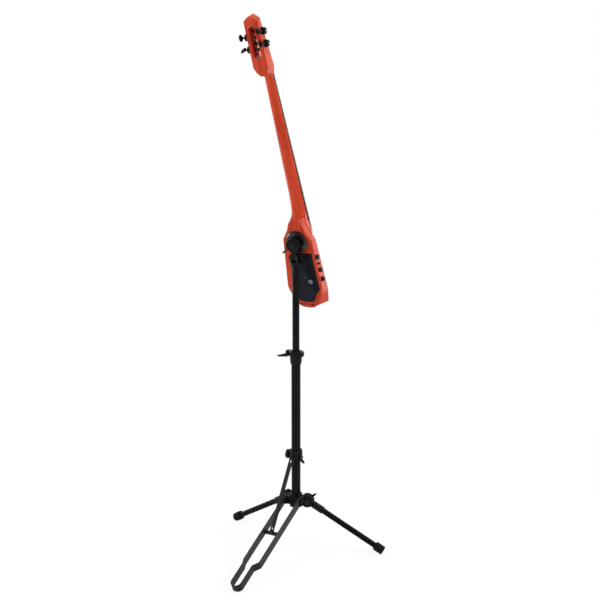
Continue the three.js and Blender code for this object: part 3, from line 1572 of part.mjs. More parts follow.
mesh("neck", neckGeometry(), COLOUR.lacquer, neck);

// Fingerboard: arched on top, wider at its lower end

function boardSection(down) {
  const half = boardHalfAt(down);
  const top = Array.from({ length: SIDES.arc + 1 }, (_, i) => {
    const x = half * (1 - (2 * i) / SIDES.arc);
    return [x, -down, -FIT.gap - BOARD.edge - sag(x, half)];
  });
  return [[half, -down, -FIT.gap], ...top, [-half, -down, -FIT.gap]];
}

const boardGeometry = loft([boardSection(NUT.length + FIT.gap), boardSection(boardLength)]);
mesh("fingerboard", boardGeometry, COLOUR.ebony, neck);

function nutGeometry() {
  const half = NECK.nutHalfWidth;
  const section = (along) => {
    const top = Array.from({ length: SIDES.arc + 1 }, (_, i) => {
      const x = half * (1 - (2 * i) / SIDES.arc);
      return [x, along, -FIT.gap - BOARD.edge - sag(x, half) - NUT.rise];
    });
    return [[half, along, -FIT.gap], ...top, [-half, along, -FIT.gap]];
  };
  return loft([section(-FIT.gap), section(-NUT.length)]);
}

mesh("nut", nutGeometry(), COLOUR.ebony, neck);

// Tuning machines

tuners.forEach(({ height, side, name, turn }) => {
  const wall = headHalfAt(height - TUNER.caseLength) + FIT.gap;
  const tilted = frame(neck, [0, height, TUNER.axisRise]);
  tilted.rotation.x = -radians(TUNER.tiltDegrees);
  const seat = frame(tilted);
  seat.rotation.y = side * QUARTER_TURN;

  const inner = slotHalfAt(height) - FIT.gap * 2;
  const shaft = rod(TUNER.postRadius, inner + TUNER.postSeat + wall + TUNER.caseReach / 2, SIDES.rod);
  shaft.translate(0, 0, -inner - TUNER.postSeat);
  const roller = rod(TUNER.rollerRadius, (inner - FIT.chamfer) * 2, SIDES.rod, FIT.chamfer);
  roller.translate(0, 0, -inner + FIT.chamfer);
  mesh(`${name}_post`, join(shaft, roller), COLOUR.blackened, seat);

  const halfLength = TUNER.caseLength / 2;
  const halfDepth = TUNER.caseDepth / 2;
  const corner = TUNER.caseRound;
  const outline = [
    [halfDepth - corner, -halfLength],
    [halfDepth, -halfLength + corner],
    [halfDepth, halfLength - corner],
    [halfDepth - corner, halfLength],
    [-halfDepth + corner, halfLength],
    [-halfDepth, halfLength - corner],
    [-halfDepth, -halfLength + corner],
    [-halfDepth + corner, -halfLength],
  ];
  const raised = (shape, rise) => shape.map(([x, y]) => [x, y, rise]);
  const box = loft([
    raised(outline, wall),
    raised(outline, wall + TUNER.caseReach - corner),
    raised(inset(outline, corner / 2), wall + TUNER.caseReach),
  ]);
  const postHole = rod(TUNER.postRadius + FIT.gap, wall + TUNER.caseReach / 2 + FIT.gap, SIDES.rod);
  const stemHole = alongX(rod(TUNER.stemRadius + FIT.gap, halfDepth, SIDES.small));
  stemHole.translate(halfDepth - TUNER.stemInside, 0, wall + TUNER.caseReach / 2);
  if (side > 0) {
    stemHole.rotateZ(HALF_TURN);
  }
  mesh(`${name}_case`, cut(box, postHole, stemHole), COLOUR.casting, seat);

  const stem = rod(TUNER.stemRadius, TUNER.stemLength + TUNER.stemInside + FIT.overrun, SIDES.small);
  stem.translate(0, 0, -TUNER.stemInside + FIT.gap);
  const paddle = keyPaddle().translate(0, 0, TUNER.stemLength);
  const keyFrame = frame(tilted, [side * (wall + TUNER.caseReach / 2), 0, halfDepth]);
  const key = mesh(`${name}_key`, join(stem, paddle), COLOUR.casting, keyFrame);
  key.rotation.z = radians(turn);
});

// A thin oval thumb piece, wide in X and thin in Y
function keyPaddle() {
  return loft(PADDLE_SHARES.map(([rise, width, thick]) => {
    const half = TUNER.paddleHalfWidth * width;
    const thin = (TUNER.paddleThickness / 2) * thick;
    return circle(1, SIDES.small).map(([x, y]) => [x * half, y * thin, rise * TUNER.paddleLength]);
  }));
}

// Bridge, pickup and strings

const crown = (x) => Math.sqrt(BRIDGE.topRadius ** 2 - x ** 2) - BRIDGE.topRadius;
const bridgePlace = intoBody([0, -BRIDGE.stringLength, bridgeTopCentre]);
const bridgeAlong = bridgePlace[1];
const bridgeFront = frontDepth(bridgeAlong);
const bridgeHeight = -bridgePlace[2] - bridgeFront;

// Both stand on the front of the body, in a frame whose -Z rises from it
const front = frame(cello, [0, bridgeAlong, -bridgeFront]);
front.rotation.x = Math.atan(BODY.taper);

function pickupGeometry() {
  const bar = block(BRIDGE.pickupHalfWidth * 2, BRIDGE.pickupDepth, BRIDGE.pickupHeight);
  return bar.translate(0, 0, -BRIDGE.pickupHeight / 2 - FIT.gap);
}

mesh("pickup", pickupGeometry(), COLOUR.ebony, front);

function bridgeGeometry() {
  const foot = BRIDGE.pickupHeight + FIT.gap * 2;
  const top = bridgeHeight - FIT.gap;
  const rise = top - foot;
  const crest = Array.from({ length: SIDES.arc + 1 }, (_, i) => {
    const x = BRIDGE.topHalfWidth * (1 - (2 * i) / SIDES.arc);
    return [x, top + crown(x)];
  });
  const right = BRIDGE_SIDE_SHARES.map(([x, y]) => [x * BRIDGE.footHalfWidth, foot + y * rise]);
  const left = right.map(([x, y]) => [-x, y]).reverse();
  const outline = [...right, ...crest, ...left];
  const archRise = rise * BRIDGE.archShare;
  const arch = circle(1, SIDES.rod).map(([x, y]) => [x * BRIDGE.archHalfWidth, foot + y * archRise]);
  const panel = plate(outline, -BRIDGE.thicknessFoot / 2, BRIDGE.thicknessFoot / 2);
  const opening = plate(arch, -BRIDGE.thicknessFoot, BRIDGE.thicknessFoot);
  const low = BRIDGE.thicknessFoot / 2;
  const high = BRIDGE.thicknessTop / 2;
  const slopes = [1, -1].map((side) => {
    const corners = [[low, foot], [BRIDGE.thicknessFoot, foot], [BRIDGE.thicknessFoot, top], [high, top]];
    const wedge = corners.map(([x, y]) => [x * side, y]);
    return plate(wedge, -BRIDGE.footHalfWidth, BRIDGE.footHalfWidth).rotateY(-QUARTER_TURN);
  });
  return cut(panel, opening, ...slopes).rotateX(-QUARTER_TURN);
}

mesh("bridge", bridgeGeometry(), COLOUR.maple, front);

// Each string runs from its hole in the tail, over the bridge and the nut, to its post
const stringNames = ["string_a", "string_d", "string_g", "string_c"];
const stringTuners = [3, 1, 0, 2];

stringNames.forEach((name, i) => {
  const radius = STRING.radii[i];
  const tail = stringPlaces(BODY.holePitch)[i];
  const overBridge = stringPlaces(STRING.pitchBridge)[i];
  const overNut = stringPlaces(STRING.pitchNut)[i];
  const { height } = tuners[stringTuners[i]];
  const lift = radius + FIT.gap * 2;
  const places = [
    intoNeck([tail, BODY.holeHeight, STRING.ballLength / 2 - STRING.seat]),
    intoNeck([tail, BODY.holeHeight, -frontDepth(BODY.holeHeight) - STRING.exit]),
    [overBridge, -BRIDGE.stringLength, bridgeTopCentre - crown(overBridge) - lift],
    [overNut, -NUT.length / 2, nutTop(overNut) - lift],
    [overNut, 0, nutTop(overNut) - lift],
    [overNut * STRING.postShare, height, TUNER.axisRise - TUNER.rollerRadius - lift],
  ];
  const ball = rod(STRING.ballRadius, STRING.ballLength, SIDES.small, FIT.gap).rotateX(-neckSet);
  ball.translate(...intoNeck([tail, BODY.holeHeight, -STRING.seat]));
  mesh(name, join(wire(places, radius, SIDES.wire), ball), COLOUR.steel, neck);
});

// The origin goes to the floor, under the middle of the whole object's box
object.updateMatrixWorld(true);
const box = new THREE.Box3().setFromObject(object, true);
const middle = box.getCenter(new THREE.Vector3());
object.position.set(-middle.x, -middle.y, -box.min.z);

export default object;
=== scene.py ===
"""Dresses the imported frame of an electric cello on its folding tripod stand. Metres, +Z up."""
import json
import math

import bmesh
import bpy
from mathutils import Matrix, Vector


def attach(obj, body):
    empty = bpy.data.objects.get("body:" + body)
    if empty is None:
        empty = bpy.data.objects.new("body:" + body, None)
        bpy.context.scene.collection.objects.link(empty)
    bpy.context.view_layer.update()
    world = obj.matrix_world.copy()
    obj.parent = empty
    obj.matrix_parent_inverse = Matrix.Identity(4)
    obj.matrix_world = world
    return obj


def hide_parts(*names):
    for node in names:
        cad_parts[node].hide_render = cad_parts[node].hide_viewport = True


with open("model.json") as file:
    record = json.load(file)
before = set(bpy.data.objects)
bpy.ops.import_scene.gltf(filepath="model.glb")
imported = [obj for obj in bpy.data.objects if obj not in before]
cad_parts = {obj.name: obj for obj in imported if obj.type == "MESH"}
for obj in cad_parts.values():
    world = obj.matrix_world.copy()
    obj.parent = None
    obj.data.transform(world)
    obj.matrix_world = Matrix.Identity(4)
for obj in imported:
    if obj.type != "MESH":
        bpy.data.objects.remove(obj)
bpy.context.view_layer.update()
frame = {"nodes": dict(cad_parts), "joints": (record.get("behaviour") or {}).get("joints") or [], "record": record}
NODES = frame["nodes"]
JOINTS = {joint["name"]: joint for joint in frame["joints"]}

MM = 0.001
FULL_TURN = 2 * math.pi

# The photograph's view, fitted to the straight tubes and the floor points of the stand
PHOTO_WIDTH = 600
CAMERA_AZIMUTH = math.radians(28.83)
CAMERA_YAW = 0.0042
CAMERA_PITCH = 0.2002
CAMERA_DISTANCE = 3.6476
CAMERA_HEIGHT = 1.7158
CAMERA_FOCAL_PIXELS = 1001.38
SENSOR = 36.0

MAST_PLACE = Vector(JOINTS["mast_swivel"]["pos_m"])
MOUNT_PLACE = Vector(JOINTS["mount_turn"]["pos_m"])
ACROSS = Vector((1, 0, 0))
CELLO_LEAN = math.radians(18.1)
NECK_LEAN = CELLO_LEAN + math.radians(6.12)
CELLO_BACK = -Vector((0, math.cos(CELLO_LEAN), math.sin(CELLO_LEAN)))
CELLO_UP = Vector((0, -math.sin(CELLO_LEAN), math.cos(CELLO_LEAN)))
NECK_UP = Vector((0, -math.sin(NECK_LEAN), math.cos(NECK_LEAN)))


# Shader helpers

COAT_ROUGHNESS = 0.12


def material(name, colour, roughness, metallic=0.0, coat=0.0, specular=0.5):
    """A Principled material, with its tree and shader at hand."""
    made = bpy.data.materials.new(name)
    made.use_nodes = True
    shader = made.node_tree.nodes["Principled BSDF"]
    shader.inputs["Base Color"].default_value = (*colour, 1)
    shader.inputs["Roughness"].default_value = roughness
    shader.inputs["Metallic"].default_value = metallic
    shader.inputs["Coat Weight"].default_value = coat
    shader.inputs["Coat Roughness"].default_value = COAT_ROUGHNESS
    shader.inputs["Specular IOR Level"].default_value = specular
    return made, made.node_tree, shader


def node(tree, kind, values=(), **settings):
    """A node with its sockets set by name and its properties by keyword."""
    made = tree.nodes.new(kind)
    for key, value in settings.items():
        setattr(made, key, value)
    for socket, value in dict(values).items():
        made.inputs[socket].default_value = value
    return made


def coordinates(tree, lean=0.0, scale=(1, 1, 1)):
    """Row frame coordinates, turned upright for a leaning piece and stretched along it."""
    place = node(tree, "ShaderNodeTexCoord")
    upright = node(tree, "ShaderNodeMapping", {"Rotation": (-lean, 0, 0)})
    stretched = node(tree, "ShaderNodeMapping", {"Scale": scale})
    tree.links.new(place.outputs["Object"], upright.inputs["Vector"])
    tree.links.new(upright.outputs["Vector"], stretched.inputs["Vector"])
    return stretched.outputs["Vector"]


def noise(tree, vector, scale, detail=4.0, rough=0.55):
    made = node(tree, "ShaderNodeTexNoise", {"Scale": scale, "Detail": detail, "Roughness": rough})
    tree.links.new(vector, made.inputs["Vector"])
    return made.outputs["Fac"]


def ramp(tree, factor, stops):
    """A colour ramp from (position, colour) stops."""
    made = node(tree, "ShaderNodeValToRGB")
    band = made.color_ramp
    band.elements[0].position, band.elements[0].color = stops[0][0], (*stops[0][1], 1)
    band.elements[1].position, band.elements[1].color = stops[-1][0], (*stops[-1][1], 1)
    for position, colour in stops[1:-1]:
        band.elements.new(position).color = (*colour, 1)
    tree.links.new(factor, made.inputs["Fac"])
    return made.outputs["Color"]


def mapped(tree, factor, low, high, start=0.3, end=0.7):
    made = node(
        tree, "ShaderNodeMapRange", {"From Min": start, "From Max": end, "To Min": low, "To Max": high}
    )
    tree.links.new(factor, made.inputs["Value"])
    return made.outputs["Result"]


def mixed(tree, factor, first, second, blend="MIX"):
    made = node(tree, "ShaderNodeMix", data_type="RGBA", blend_type=blend)
    for socket, value in ((0, factor), (6, first), (7, second)):
        if hasattr(value, "is_linked"):
            tree.links.new(value, made.inputs[socket])
        elif isinstance(value, (int, float)):
            made.inputs[socket].default_value = value
        else:
            made.inputs[socket].default_value = (*value, 1)
    return made.outputs[2]


def bumped(tree, shader, height, strength, distance, under=None):
    made = node(tree, "ShaderNodeBump", {"Strength": strength, "Distance": distance})
    tree.links.new(height, made.inputs["Height"])
    if under:
        tree.links.new(under, made.inputs["Normal"])
    tree.links.new(made.outputs["Normal"], shader.inputs["Normal"])
    return made.outputs["Normal"]


# Materials


LACQUER_SPECULAR = 0.17
# The slot in the head: its half width, how far it goes past the outer posts, and the painted shade deep in it, a
# dark red that stands in for the shade inside the slot
SLOT_HALF = 15 * MM
SLOT_BELOW = 21 * MM
SLOT_ABOVE = 17 * MM
SLOT_PAINTED_SHADE = (0.36, 0.028, 0.016)


def painted_slot_shade(tree, lean, span):
    """1 inside the slot of the head, between two heights along the neck: where the slot's shade is painted."""
    split = node(tree, "ShaderNodeSeparateXYZ")
    tree.links.new(coordinates(tree, lean), split.inputs["Vector"])
    across = node(tree, "ShaderNodeMath", operation="ABSOLUTE")
    tree.links.new(split.outputs["X"], across.inputs[0])
    inside = mapped(tree, across.outputs[0], 1.0, 0.0, SLOT_HALF - MM, SLOT_HALF)
    above = mapped(tree, split.outputs["Z"], 0.0, 1.0, span[0], span[0] + MM)
    below = mapped(tree, split.outputs["Z"], 1.0, 0.0, span[1] - MM, span[1])
    both = node(tree, "ShaderNodeMath", operation="MULTIPLY")
    tree.links.new(inside, both.inputs[0])
    tree.links.new(above, both.inputs[1])
    every = node(tree, "ShaderNodeMath", operation="MULTIPLY")
    tree.links.new(both.outputs[0], every.inputs[0])
    tree.links.new(below, every.inputs[1])
    return every.outputs[0]


def lacquered_maple(name, lean, slot=None):
    """Orange-red stain over maple with a satin-gloss lacquer; the grain runs up the piece. Given a slot, painted
    shade turns the colour dark red inside it and takes its gloss away.
    """
    made, tree, shader = material(name, (0.5, 0.05, 0.015), 0.32, specular=LACQUER_SPECULAR)
    figure = noise(tree, coordinates(tree, lean, (34, 34, 2.6)), 2.2, 6, 0.62)
    fine = noise(tree, coordinates(tree, lean, (420, 420, 9)), 2.4, 3, 0.6)
    flame = noise(tree, coordinates(tree, lean, (7, 7, 34)), 1.6, 3, 0.5)
    stain = ramp(
        tree,
        figure,
        [(0.28, (0.4, 0.026, 0.006)), (0.5, (0.56, 0.046, 0.011)), (0.74, (0.66, 0.075, 0.02))],
    )
    lines = ramp(tree, fine, [(0.32, (0.56, 0.5, 0.46)), (0.6, (1, 1, 1))])
    waves = ramp(tree, flame, [(0.34, (0.84, 0.8, 0.78)), (0.66, (1.0, 1.0, 1.0))])
    grained = mixed(tree, 0.55, stain, lines, "MULTIPLY")
    finish = mixed(tree, 0.6, grained, waves, "MULTIPLY")
    if slot:
        # Painted shade: inside the head's slot the colour is mixed to a dark red and the gloss is taken out
        shade = painted_slot_shade(tree, lean, slot)
        finish = mixed(tree, shade, finish, SLOT_PAINTED_SHADE)
        gleam = mapped(tree, shade, LACQUER_SPECULAR, 0.0, 0.0, 1.0)
        tree.links.new(gleam, shader.inputs["Specular IOR Level"])
    tree.links.new(finish, shader.inputs["Base Color"])
    tree.links.new(mapped(tree, figure, 0.28, 0.4), shader.inputs["Roughness"])
    bumped(tree, shader, fine, 0.06, 0.2 * MM)
    return made


def ebony(name, lean):
    made, tree, shader = material(name, (0.014, 0.012, 0.011), 0.42, specular=0.25)
    grain = noise(tree, coordinates(tree, lean, (380, 380, 7)), 2.0, 5, 0.6)
    shade = ramp(tree, grain, [(0.35, (0.007, 0.006, 0.006)), (0.7, (0.03, 0.024, 0.02))])
    tree.links.new(shade, shader.inputs["Base Color"])
    tree.links.new(mapped(tree, grain, 0.34, 0.5), shader.inputs["Roughness"])
    bumped(tree, shader, grain, 0.12, 0.15 * MM)
    return made


def bare_maple(name, lean):
    made, tree, shader = material(name, (0.6, 0.38, 0.19), 0.5)
    grain = noise(tree, coordinates(tree, lean, (110, 110, 900)), 1.2, 5, 0.6)
    flecks = noise(tree, coordinates(tree, lean, (900, 300, 900)), 2.4, 2, 0.5)
    shade = ramp(tree, grain, [(0.3, (0.46, 0.26, 0.11)), (0.7, (0.68, 0.45, 0.24))])
    fleck = ramp(tree, flecks, [(0.4, (0.74, 0.66, 0.58)), (0.56, (1, 1, 1))])
    tree.links.new(mixed(tree, 0.5, shade, fleck, "MULTIPLY"), shader.inputs["Base Color"])
    bumped(tree, shader, grain, 0.1, 0.1 * MM)
    return made


def coated_metal(name, colour, roughness, peel_scale, peel_strength, coat=0.0, specular=0.16):
    """Paint or powder on metal: a pebbled skin, with dust and wiped patches in its gloss."""
    made, tree, shader = material(name, colour, roughness, coat=coat, specular=specular)
    place = coordinates(tree)
    peel = noise(tree, place, peel_scale, 3, 0.5)
    patches = noise(tree, place, 14, 5, 0.6)
    darker = tuple(c * 0.7 for c in colour)
    lighter = tuple(c * 1.45 + 0.002 for c in colour)
    tree.links.new(ramp(tree, patches, [(0.3, darker), (0.72, lighter)]), shader.inputs["Base Color"])
    tree.links.new(mapped(tree, patches, roughness - 0.07, roughness + 0.1), shader.inputs["Roughness"])
    bumped(tree, shader, peel, peel_strength, 0.12 * MM)
    return made


def dark_band(name):
    """Flat spring steel with a dark olive coating, drawn lengthways, its colour darker towards its lower end near
    the floor.
    """
    made, tree, shader = material(name, (0.03, 0.032, 0.024), 0.42, specular=0.18)
    streaks = noise(tree, coordinates(tree, 0, (300, 12, 220)), 2.0, 4, 0.6)
    patches = noise(tree, coordinates(tree), 18, 4, 0.6)
    olive = ramp(tree, streaks, [(0.3, (0.018, 0.019, 0.014)), (0.7, (0.036, 0.037, 0.028))])
    split = node(tree, "ShaderNodeSeparateXYZ")
    tree.links.new(coordinates(tree), split.inputs["Vector"])
    height = mapped(tree, split.outputs["Z"], 0.0, 1.0, 0.0, 0.2)
    # The colour darkens towards the floor over the lowest 0.2 m of height
    darker_low_end = ramp(tree, height, [(0.12, (0.12, 0.12, 0.1)), (0.4, (0.55, 0.55, 0.52)), (0.9, (1, 1, 1))])
    tree.links.new(mixed(tree, 1.0, olive, darker_low_end, "MULTIPLY"), shader.inputs["Base Color"])
    tree.links.new(mapped(tree, patches, 0.34, 0.5), shader.inputs["Roughness"])
    bumped(tree, shader, streaks, 0.08, 0.1 * MM)
    return made


def moulded(name, colour, roughness, grain_scale, grain_strength):
    """Moulded plastic or rubber with a spark-eroded grain."""
    made, tree, shader = material(name, colour, roughness, specular=0.09)
    place = coordinates(tree)
    grain = noise(tree, place, grain_scale, 2, 0.5)
    dust = noise(tree, place, 22, 5, 0.65)
    bright = tuple(c * 1.6 + 0.003 for c in colour)
    tree.links.new(ramp(tree, dust, [(0.35, colour), (0.8, bright)]), shader.inputs["Base Color"])
    tree.links.new(mapped(tree, dust, roughness - 0.06, roughness + 0.08), shader.inputs["Roughness"])
    bumped(tree, shader, grain, grain_strength, 0.1 * MM)
    return made


def bright_metal(name, colour, roughness):
    made, tree, shader = material(name, colour, roughness, metallic=1.0)
    brushed = noise(tree, coordinates(tree, 0, (60, 60, 900)), 2.0, 3, 0.5)
    tarnish = noise(tree, coordinates(tree), 60, 4, 0.6)
    dull = tuple(c * 0.72 for c in colour)
    tree.links.new(ramp(tree, tarnish, [(0.3, dull), (0.6, colour)]), shader.inputs["Base Color"])
    tree.links.new(mapped(tree, brushed, roughness * 0.8, roughness * 1.5), shader.inputs["Roughness"])
    bumped(tree, shader, brushed, 0.04, 0.05 * MM)
    return made


def wound_string(name, lean):
    """Flat-wound steel: fine turns across the string; its colour is kept dark as painted shade of the windings
    round the posts.
    """
    made, tree, shader = material(name, (0.42, 0.42, 0.43), 0.3, metallic=1.0)
    wave = node(tree, "ShaderNodeTexWave", {"Scale": 480.0, "Distortion": 0.0}, bands_direction="Z")
    tree.links.new(coordinates(tree, lean), wave.inputs["Vector"])
    # Painted shade: the steel's colour is kept dark, for the windings on the posts that sit in shade
    shade = ramp(tree, wave.outputs["Fac"], [(0.1, (0.12, 0.12, 0.125)), (0.6, (0.34, 0.34, 0.35))])
    tree.links.new(shade, shader.inputs["Base Color"])
    bumped(tree, shader, wave.outputs["Fac"], 0.3, 0.05 * MM)
    return made


def circuit_mask(name):
    made, tree, shader = material(name, (0.02, 0.16, 0.07), 0.4, coat=0.3)
    tracks = node(tree, "ShaderNodeTexVoronoi", {"Scale": 240.0}, feature="DISTANCE_TO_EDGE")
    tree.links.new(coordinates(tree), tracks.inputs["Vector"])
    shade = ramp(tree, tracks.outputs["Distance"], [(0.04, (0.05, 0.3, 0.12)), (0.1, (0.012, 0.11, 0.045))])
    tree.links.new(shade, shader.inputs["Base Color"])
    return made


def status_lens(name):
    made, tree, shader = material(name, (0.3, 0.32, 0.31), 0.18, coat=0.2)
    haze = noise(tree, coordinates(tree), 300, 2, 0.5)
    shade = ramp(tree, haze, [(0.3, (0.2, 0.21, 0.21)), (0.7, (0.34, 0.36, 0.35))])
    tree.links.new(shade, shader.inputs["Base Color"])
    return made


LACQUER_BODY = lacquered_maple("lacquer_body", CELLO_LEAN)
HEAD_PLACES = [Vector(JOINTS[f"post_{count}_turn"]["pos_m"]).dot(NECK_UP) for count in range(1, 5)]
HEAD_SLOT = (min(HEAD_PLACES) - SLOT_BELOW, max(HEAD_PLACES) + SLOT_ABOVE)
LACQUER_NECK = lacquered_maple("lacquer_neck", NECK_LEAN, HEAD_SLOT)
EBONY = ebony("ebony", NECK_LEAN)
MAPLE = bare_maple("bridge_maple", CELLO_LEAN)
ENAMEL = coated_metal("black_enamel", (0.0036, 0.0038, 0.0046), 0.22, 260, 0.04, specular=0.07)
CASTING = coated_metal("black_casting", (0.0036, 0.0038, 0.0048), 0.3, 620, 0.14, specular=0.11)
BLACKENED = coated_metal("blackened_steel", (0.007, 0.007, 0.008), 0.26, 900, 0.05, specular=0.3)
MACHINE = coated_metal("black_machine_head", (0.003, 0.003, 0.0038), 0.2, 400, 0.03, specular=0.045)
# Painted shade: a darker, less glossy copy of the enamel for the sloped legs, which catch more light than the mast
LEG_ENAMEL = coated_metal("leg_enamel", (0.0032, 0.0034, 0.004), 0.26, 260, 0.04, specular=0.035)
DISC = coated_metal("disc_casting", (0.0032, 0.0034, 0.0042), 0.22, 620, 0.12, specular=0.5)
BAND = dark_band("dark_band")
PLASTIC = moulded("black_plastic", (0.005, 0.005, 0.006), 0.36, 1400, 0.12)
COVER = moulded("cover_plastic", (0.0065, 0.0078, 0.0125), 0.34, 1800, 0.1)
RUBBER = moulded("rubber", (0.005, 0.005, 0.006), 0.7, 800, 0.2)
CHROME = bright_metal("bright_steel", (0.72, 0.72, 0.73), 0.14)
NICKEL = bright_metal("satin_nickel", (0.86, 0.85, 0.82), 0.36)
WOUND = wound_string("wound_steel", NECK_LEAN)
BOARD = circuit_mask("circuit_board")
LENS = status_lens("clear_lens")

FINISHES = {
    "body": LACQUER_BODY,
    "neck": LACQUER_NECK,
    "fingerboard": EBONY,
    "nut": EBONY,
    "pickup": EBONY,
    "bridge": MAPLE,
    "loop_leg": BAND,
    "rear_cover": COVER,
    "jack_socket": PLASTIC,
    "right_leg_tube": LEG_ENAMEL,
    "left_leg_tube": LEG_ENAMEL,
    "mount_disc": DISC,
    "preamp_board": BOARD,
    "status_light": LENS,
}
SLOT_FINISHES = {
    "black_enamel": ENAMEL,
    "black_casting": CASTING,
    "black_plastic": PLASTIC,
    "rubber": RUBBER,
    "blackened_steel": BLACKENED,
    "black_machine_head": MACHINE,
    "bright_steel": WOUND,
}

# Edge rounding of the CAD nodes that stay, in metres; the rest take the plain width
PLAIN_EDGE = 0.5 * MM
EDGES = {
    "body": 1.6 * MM,
    "neck": 0.9 * MM,
    "fingerboard": 0.7 * MM,
    "loop_leg": 0.7 * MM,
    "rear_cover": 0.6 * MM,
    "bridge": 0.8 * MM,
    "pickup": 1.2 * MM,
    "hub": 1.0 * MM,
}
UNROUNDED = {"string_a", "string_d", "string_g", "string_c", "preamp_board"}

# How close corners are welded, how flat merged faces are, and what counts as a sharp edge
WELD_GAP = 0.002 * MM
FLAT_ANGLE = math.radians(0.6)
EDGE_ANGLE = math.radians(32)
EDGE_SEGMENTS = 2
NORMAL_WEIGHT = 60


def softened(thing, width):
    """Flat faces are merged, then sharp edges rounded and shaded with face-weighted normals."""
    mesh = thing.data
    for name in ("custom_normal", "sharp_edge", "sharp_face"):
        if name in mesh.attributes:
            mesh.attributes.remove(mesh.attributes[name])
    mesh.polygons.foreach_set("use_smooth", [True] * len(mesh.polygons))
    weld = thing.modifiers.new("weld", "WELD")
    weld.merge_threshold = WELD_GAP
    flat = thing.modifiers.new("flat", "DECIMATE")
    flat.decimate_type = "DISSOLVE"
    flat.angle_limit = FLAT_ANGLE
    if width:
        bevel = thing.modifiers.new("bevel", "BEVEL")
        bevel.width = width
        bevel.segments = EDGE_SEGMENTS
        bevel.limit_method = "ANGLE"
        bevel.angle_limit = EDGE_ANGLE
        bevel.use_clamp_overlap = True
    normals = thing.modifiers.new("normals", "WEIGHTED_NORMAL")
    normals.weight = NORMAL_WEIGHT
    normals.keep_sharp = False


def dress_frame():
    slots = {part["node"]: part["material_slot"] for part in frame["record"]["subparts"]}
    for name, thing in NODES.items():
        finish = FINISHES.get(name) or SLOT_FINISHES[slots[name]]
        thing.data.materials.clear()
        thing.data.materials.append(finish)
        softened(thing, 0 if name in UNROUNDED else EDGES.get(name, PLAIN_EDGE))


# Mesh helpers for the pieces that are made here


def placed(name, mesh, matrix, body, slot_name, finish=None):
    """An object whose vertices are in the row frame, on its body, with its finish."""
    mesh.transform(matrix)
    thing = bpy.data.objects.new(name, mesh)
    bpy.context.scene.collection.objects.link(thing)
    mesh.materials.append(finish or SLOT_FINISHES[slot_name])
    mesh.polygons.foreach_set("use_smooth", [True] * len(mesh.polygons))
    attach(thing, body)
    return thing


def standing(place, along):
    """Matrix of a frame at place whose Z runs along the given direction."""
    turn = Vector(along).normalized().to_track_quat("Z", "Y").to_matrix().to_4x4()
    return Matrix.Translation(Vector(place)) @ turn


def round_angles(sides):
    return [FULL_TURN * step / sides for step in range(sides)]


def ring_of(work, sides, reach_at, height):
    """Vertices round the Z axis, at the reach that a function gives for each angle."""
    ring = []
    for turn in round_angles(sides):
        reach = reach_at(turn)
        ring.append(work.verts.new((reach * math.cos(turn), reach * math.sin(turn), height)))
    return ring


def skinned(work, rings):
    """Faces between rings of one size, or up to a ring that is a single point."""
    for low, high in zip(rings, rings[1:]):
        sides = max(len(low), len(high))
        for step in range(sides):
            after = (step + 1) % sides
            if len(low) == 1:
                work.faces.new((low[0], high[after], high[step]))
            elif len(high) == 1:
                work.faces.new((low[step], low[after], high[0]))
            else:
                work.faces.new((low[step], low[after], high[after], high[step]))


def capped(work, rings):
    """Faces between the rings and over the first and the last of them."""
    skinned(work, rings)
    work.faces.new(rings[0][::-1])
    work.faces.new(rings[-1])


def meshed(work, name):
    bmesh.ops.recalc_face_normals(work, faces=work.faces)
    mesh = bpy.data.meshes.new(name)
    work.to_mesh(mesh)
    work.free()
    return mesh


# A radius under this is a point on the axis
ON_AXIS = 1e-9


def lathe(profile, sides):
    """A closed turned mesh from (radius, height) points that start and end on the axis."""
    work = bmesh.new()
    rings = []
    for radius, height in profile:
        if radius < ON_AXIS:
            rings.append([work.verts.new((0, 0, height))])
        else:
            rings.append(ring_of(work, sides, lambda turn, radius=radius: radius, height))
    skinned(work, rings)
    return meshed(work, "turned")


def ring_mesh(profile, sides):
    """A closed ring turned from a loop of (radius, height) points that stays off the axis."""
    work = bmesh.new()
    rows = [ring_of(work, sides, lambda turn, radius=radius: radius, height) for radius, height in profile]
    skinned(work, rows + rows[:1])
    return meshed(work, "ring")


def fluted(rows, flutes, sides):
    """A turned cap whose wall is fluted, from (radius, height, flute depth) rows."""
    work = bmesh.new()
    rings = []
    for radius, height, depth in rows:

        def reach_at(turn, radius=radius, depth=depth):
            return radius - depth * (0.5 + 0.5 * math.cos(turn * flutes))

        rings.append(ring_of(work, sides, reach_at, height))
    capped(work, rings)
    return meshed(work, "fluted")


def tube(points, radius, sides, name):
    """A round tube along points, with its frame carried from one point to the next."""
    work = bmesh.new()
    rings = []
    side = None
    for index, point in enumerate(points):
        before = points[max(index - 1, 0)]
        after = points[min(index + 1, len(points) - 1)]
        heading = (after - before).normalized()
        if side is None:
            side = heading.orthogonal().normalized()
        side = (side - heading * side.dot(heading)).normalized()
        up = heading.cross(side)
        ring = []
        for turn in round_angles(sides):
            ring.append(work.verts.new(point + (side * math.cos(turn) + up * math.sin(turn)) * radius))
        rings.append(ring)
    capped(work, rings)
    return meshed(work, name)


# Half the angle of one side of a hexagon
HEX_HALF = math.pi / 6


def hexagonal(reach, turn):
    """How far a six-sided outline with its corners at reach goes at an angle."""
    return reach * math.cos(HEX_HALF) / math.cos(turn % (2 * HEX_HALF) - HEX_HALF)


# Shares of a screw head's height and radius, and of its radius for the socket
SCREW_SIDES = 24
SCREW_CHAMFER = 0.3
SCREW_LAND = 0.62
SOCKET_REACH = 0.5
SOCKET_FLOOR = 0.35


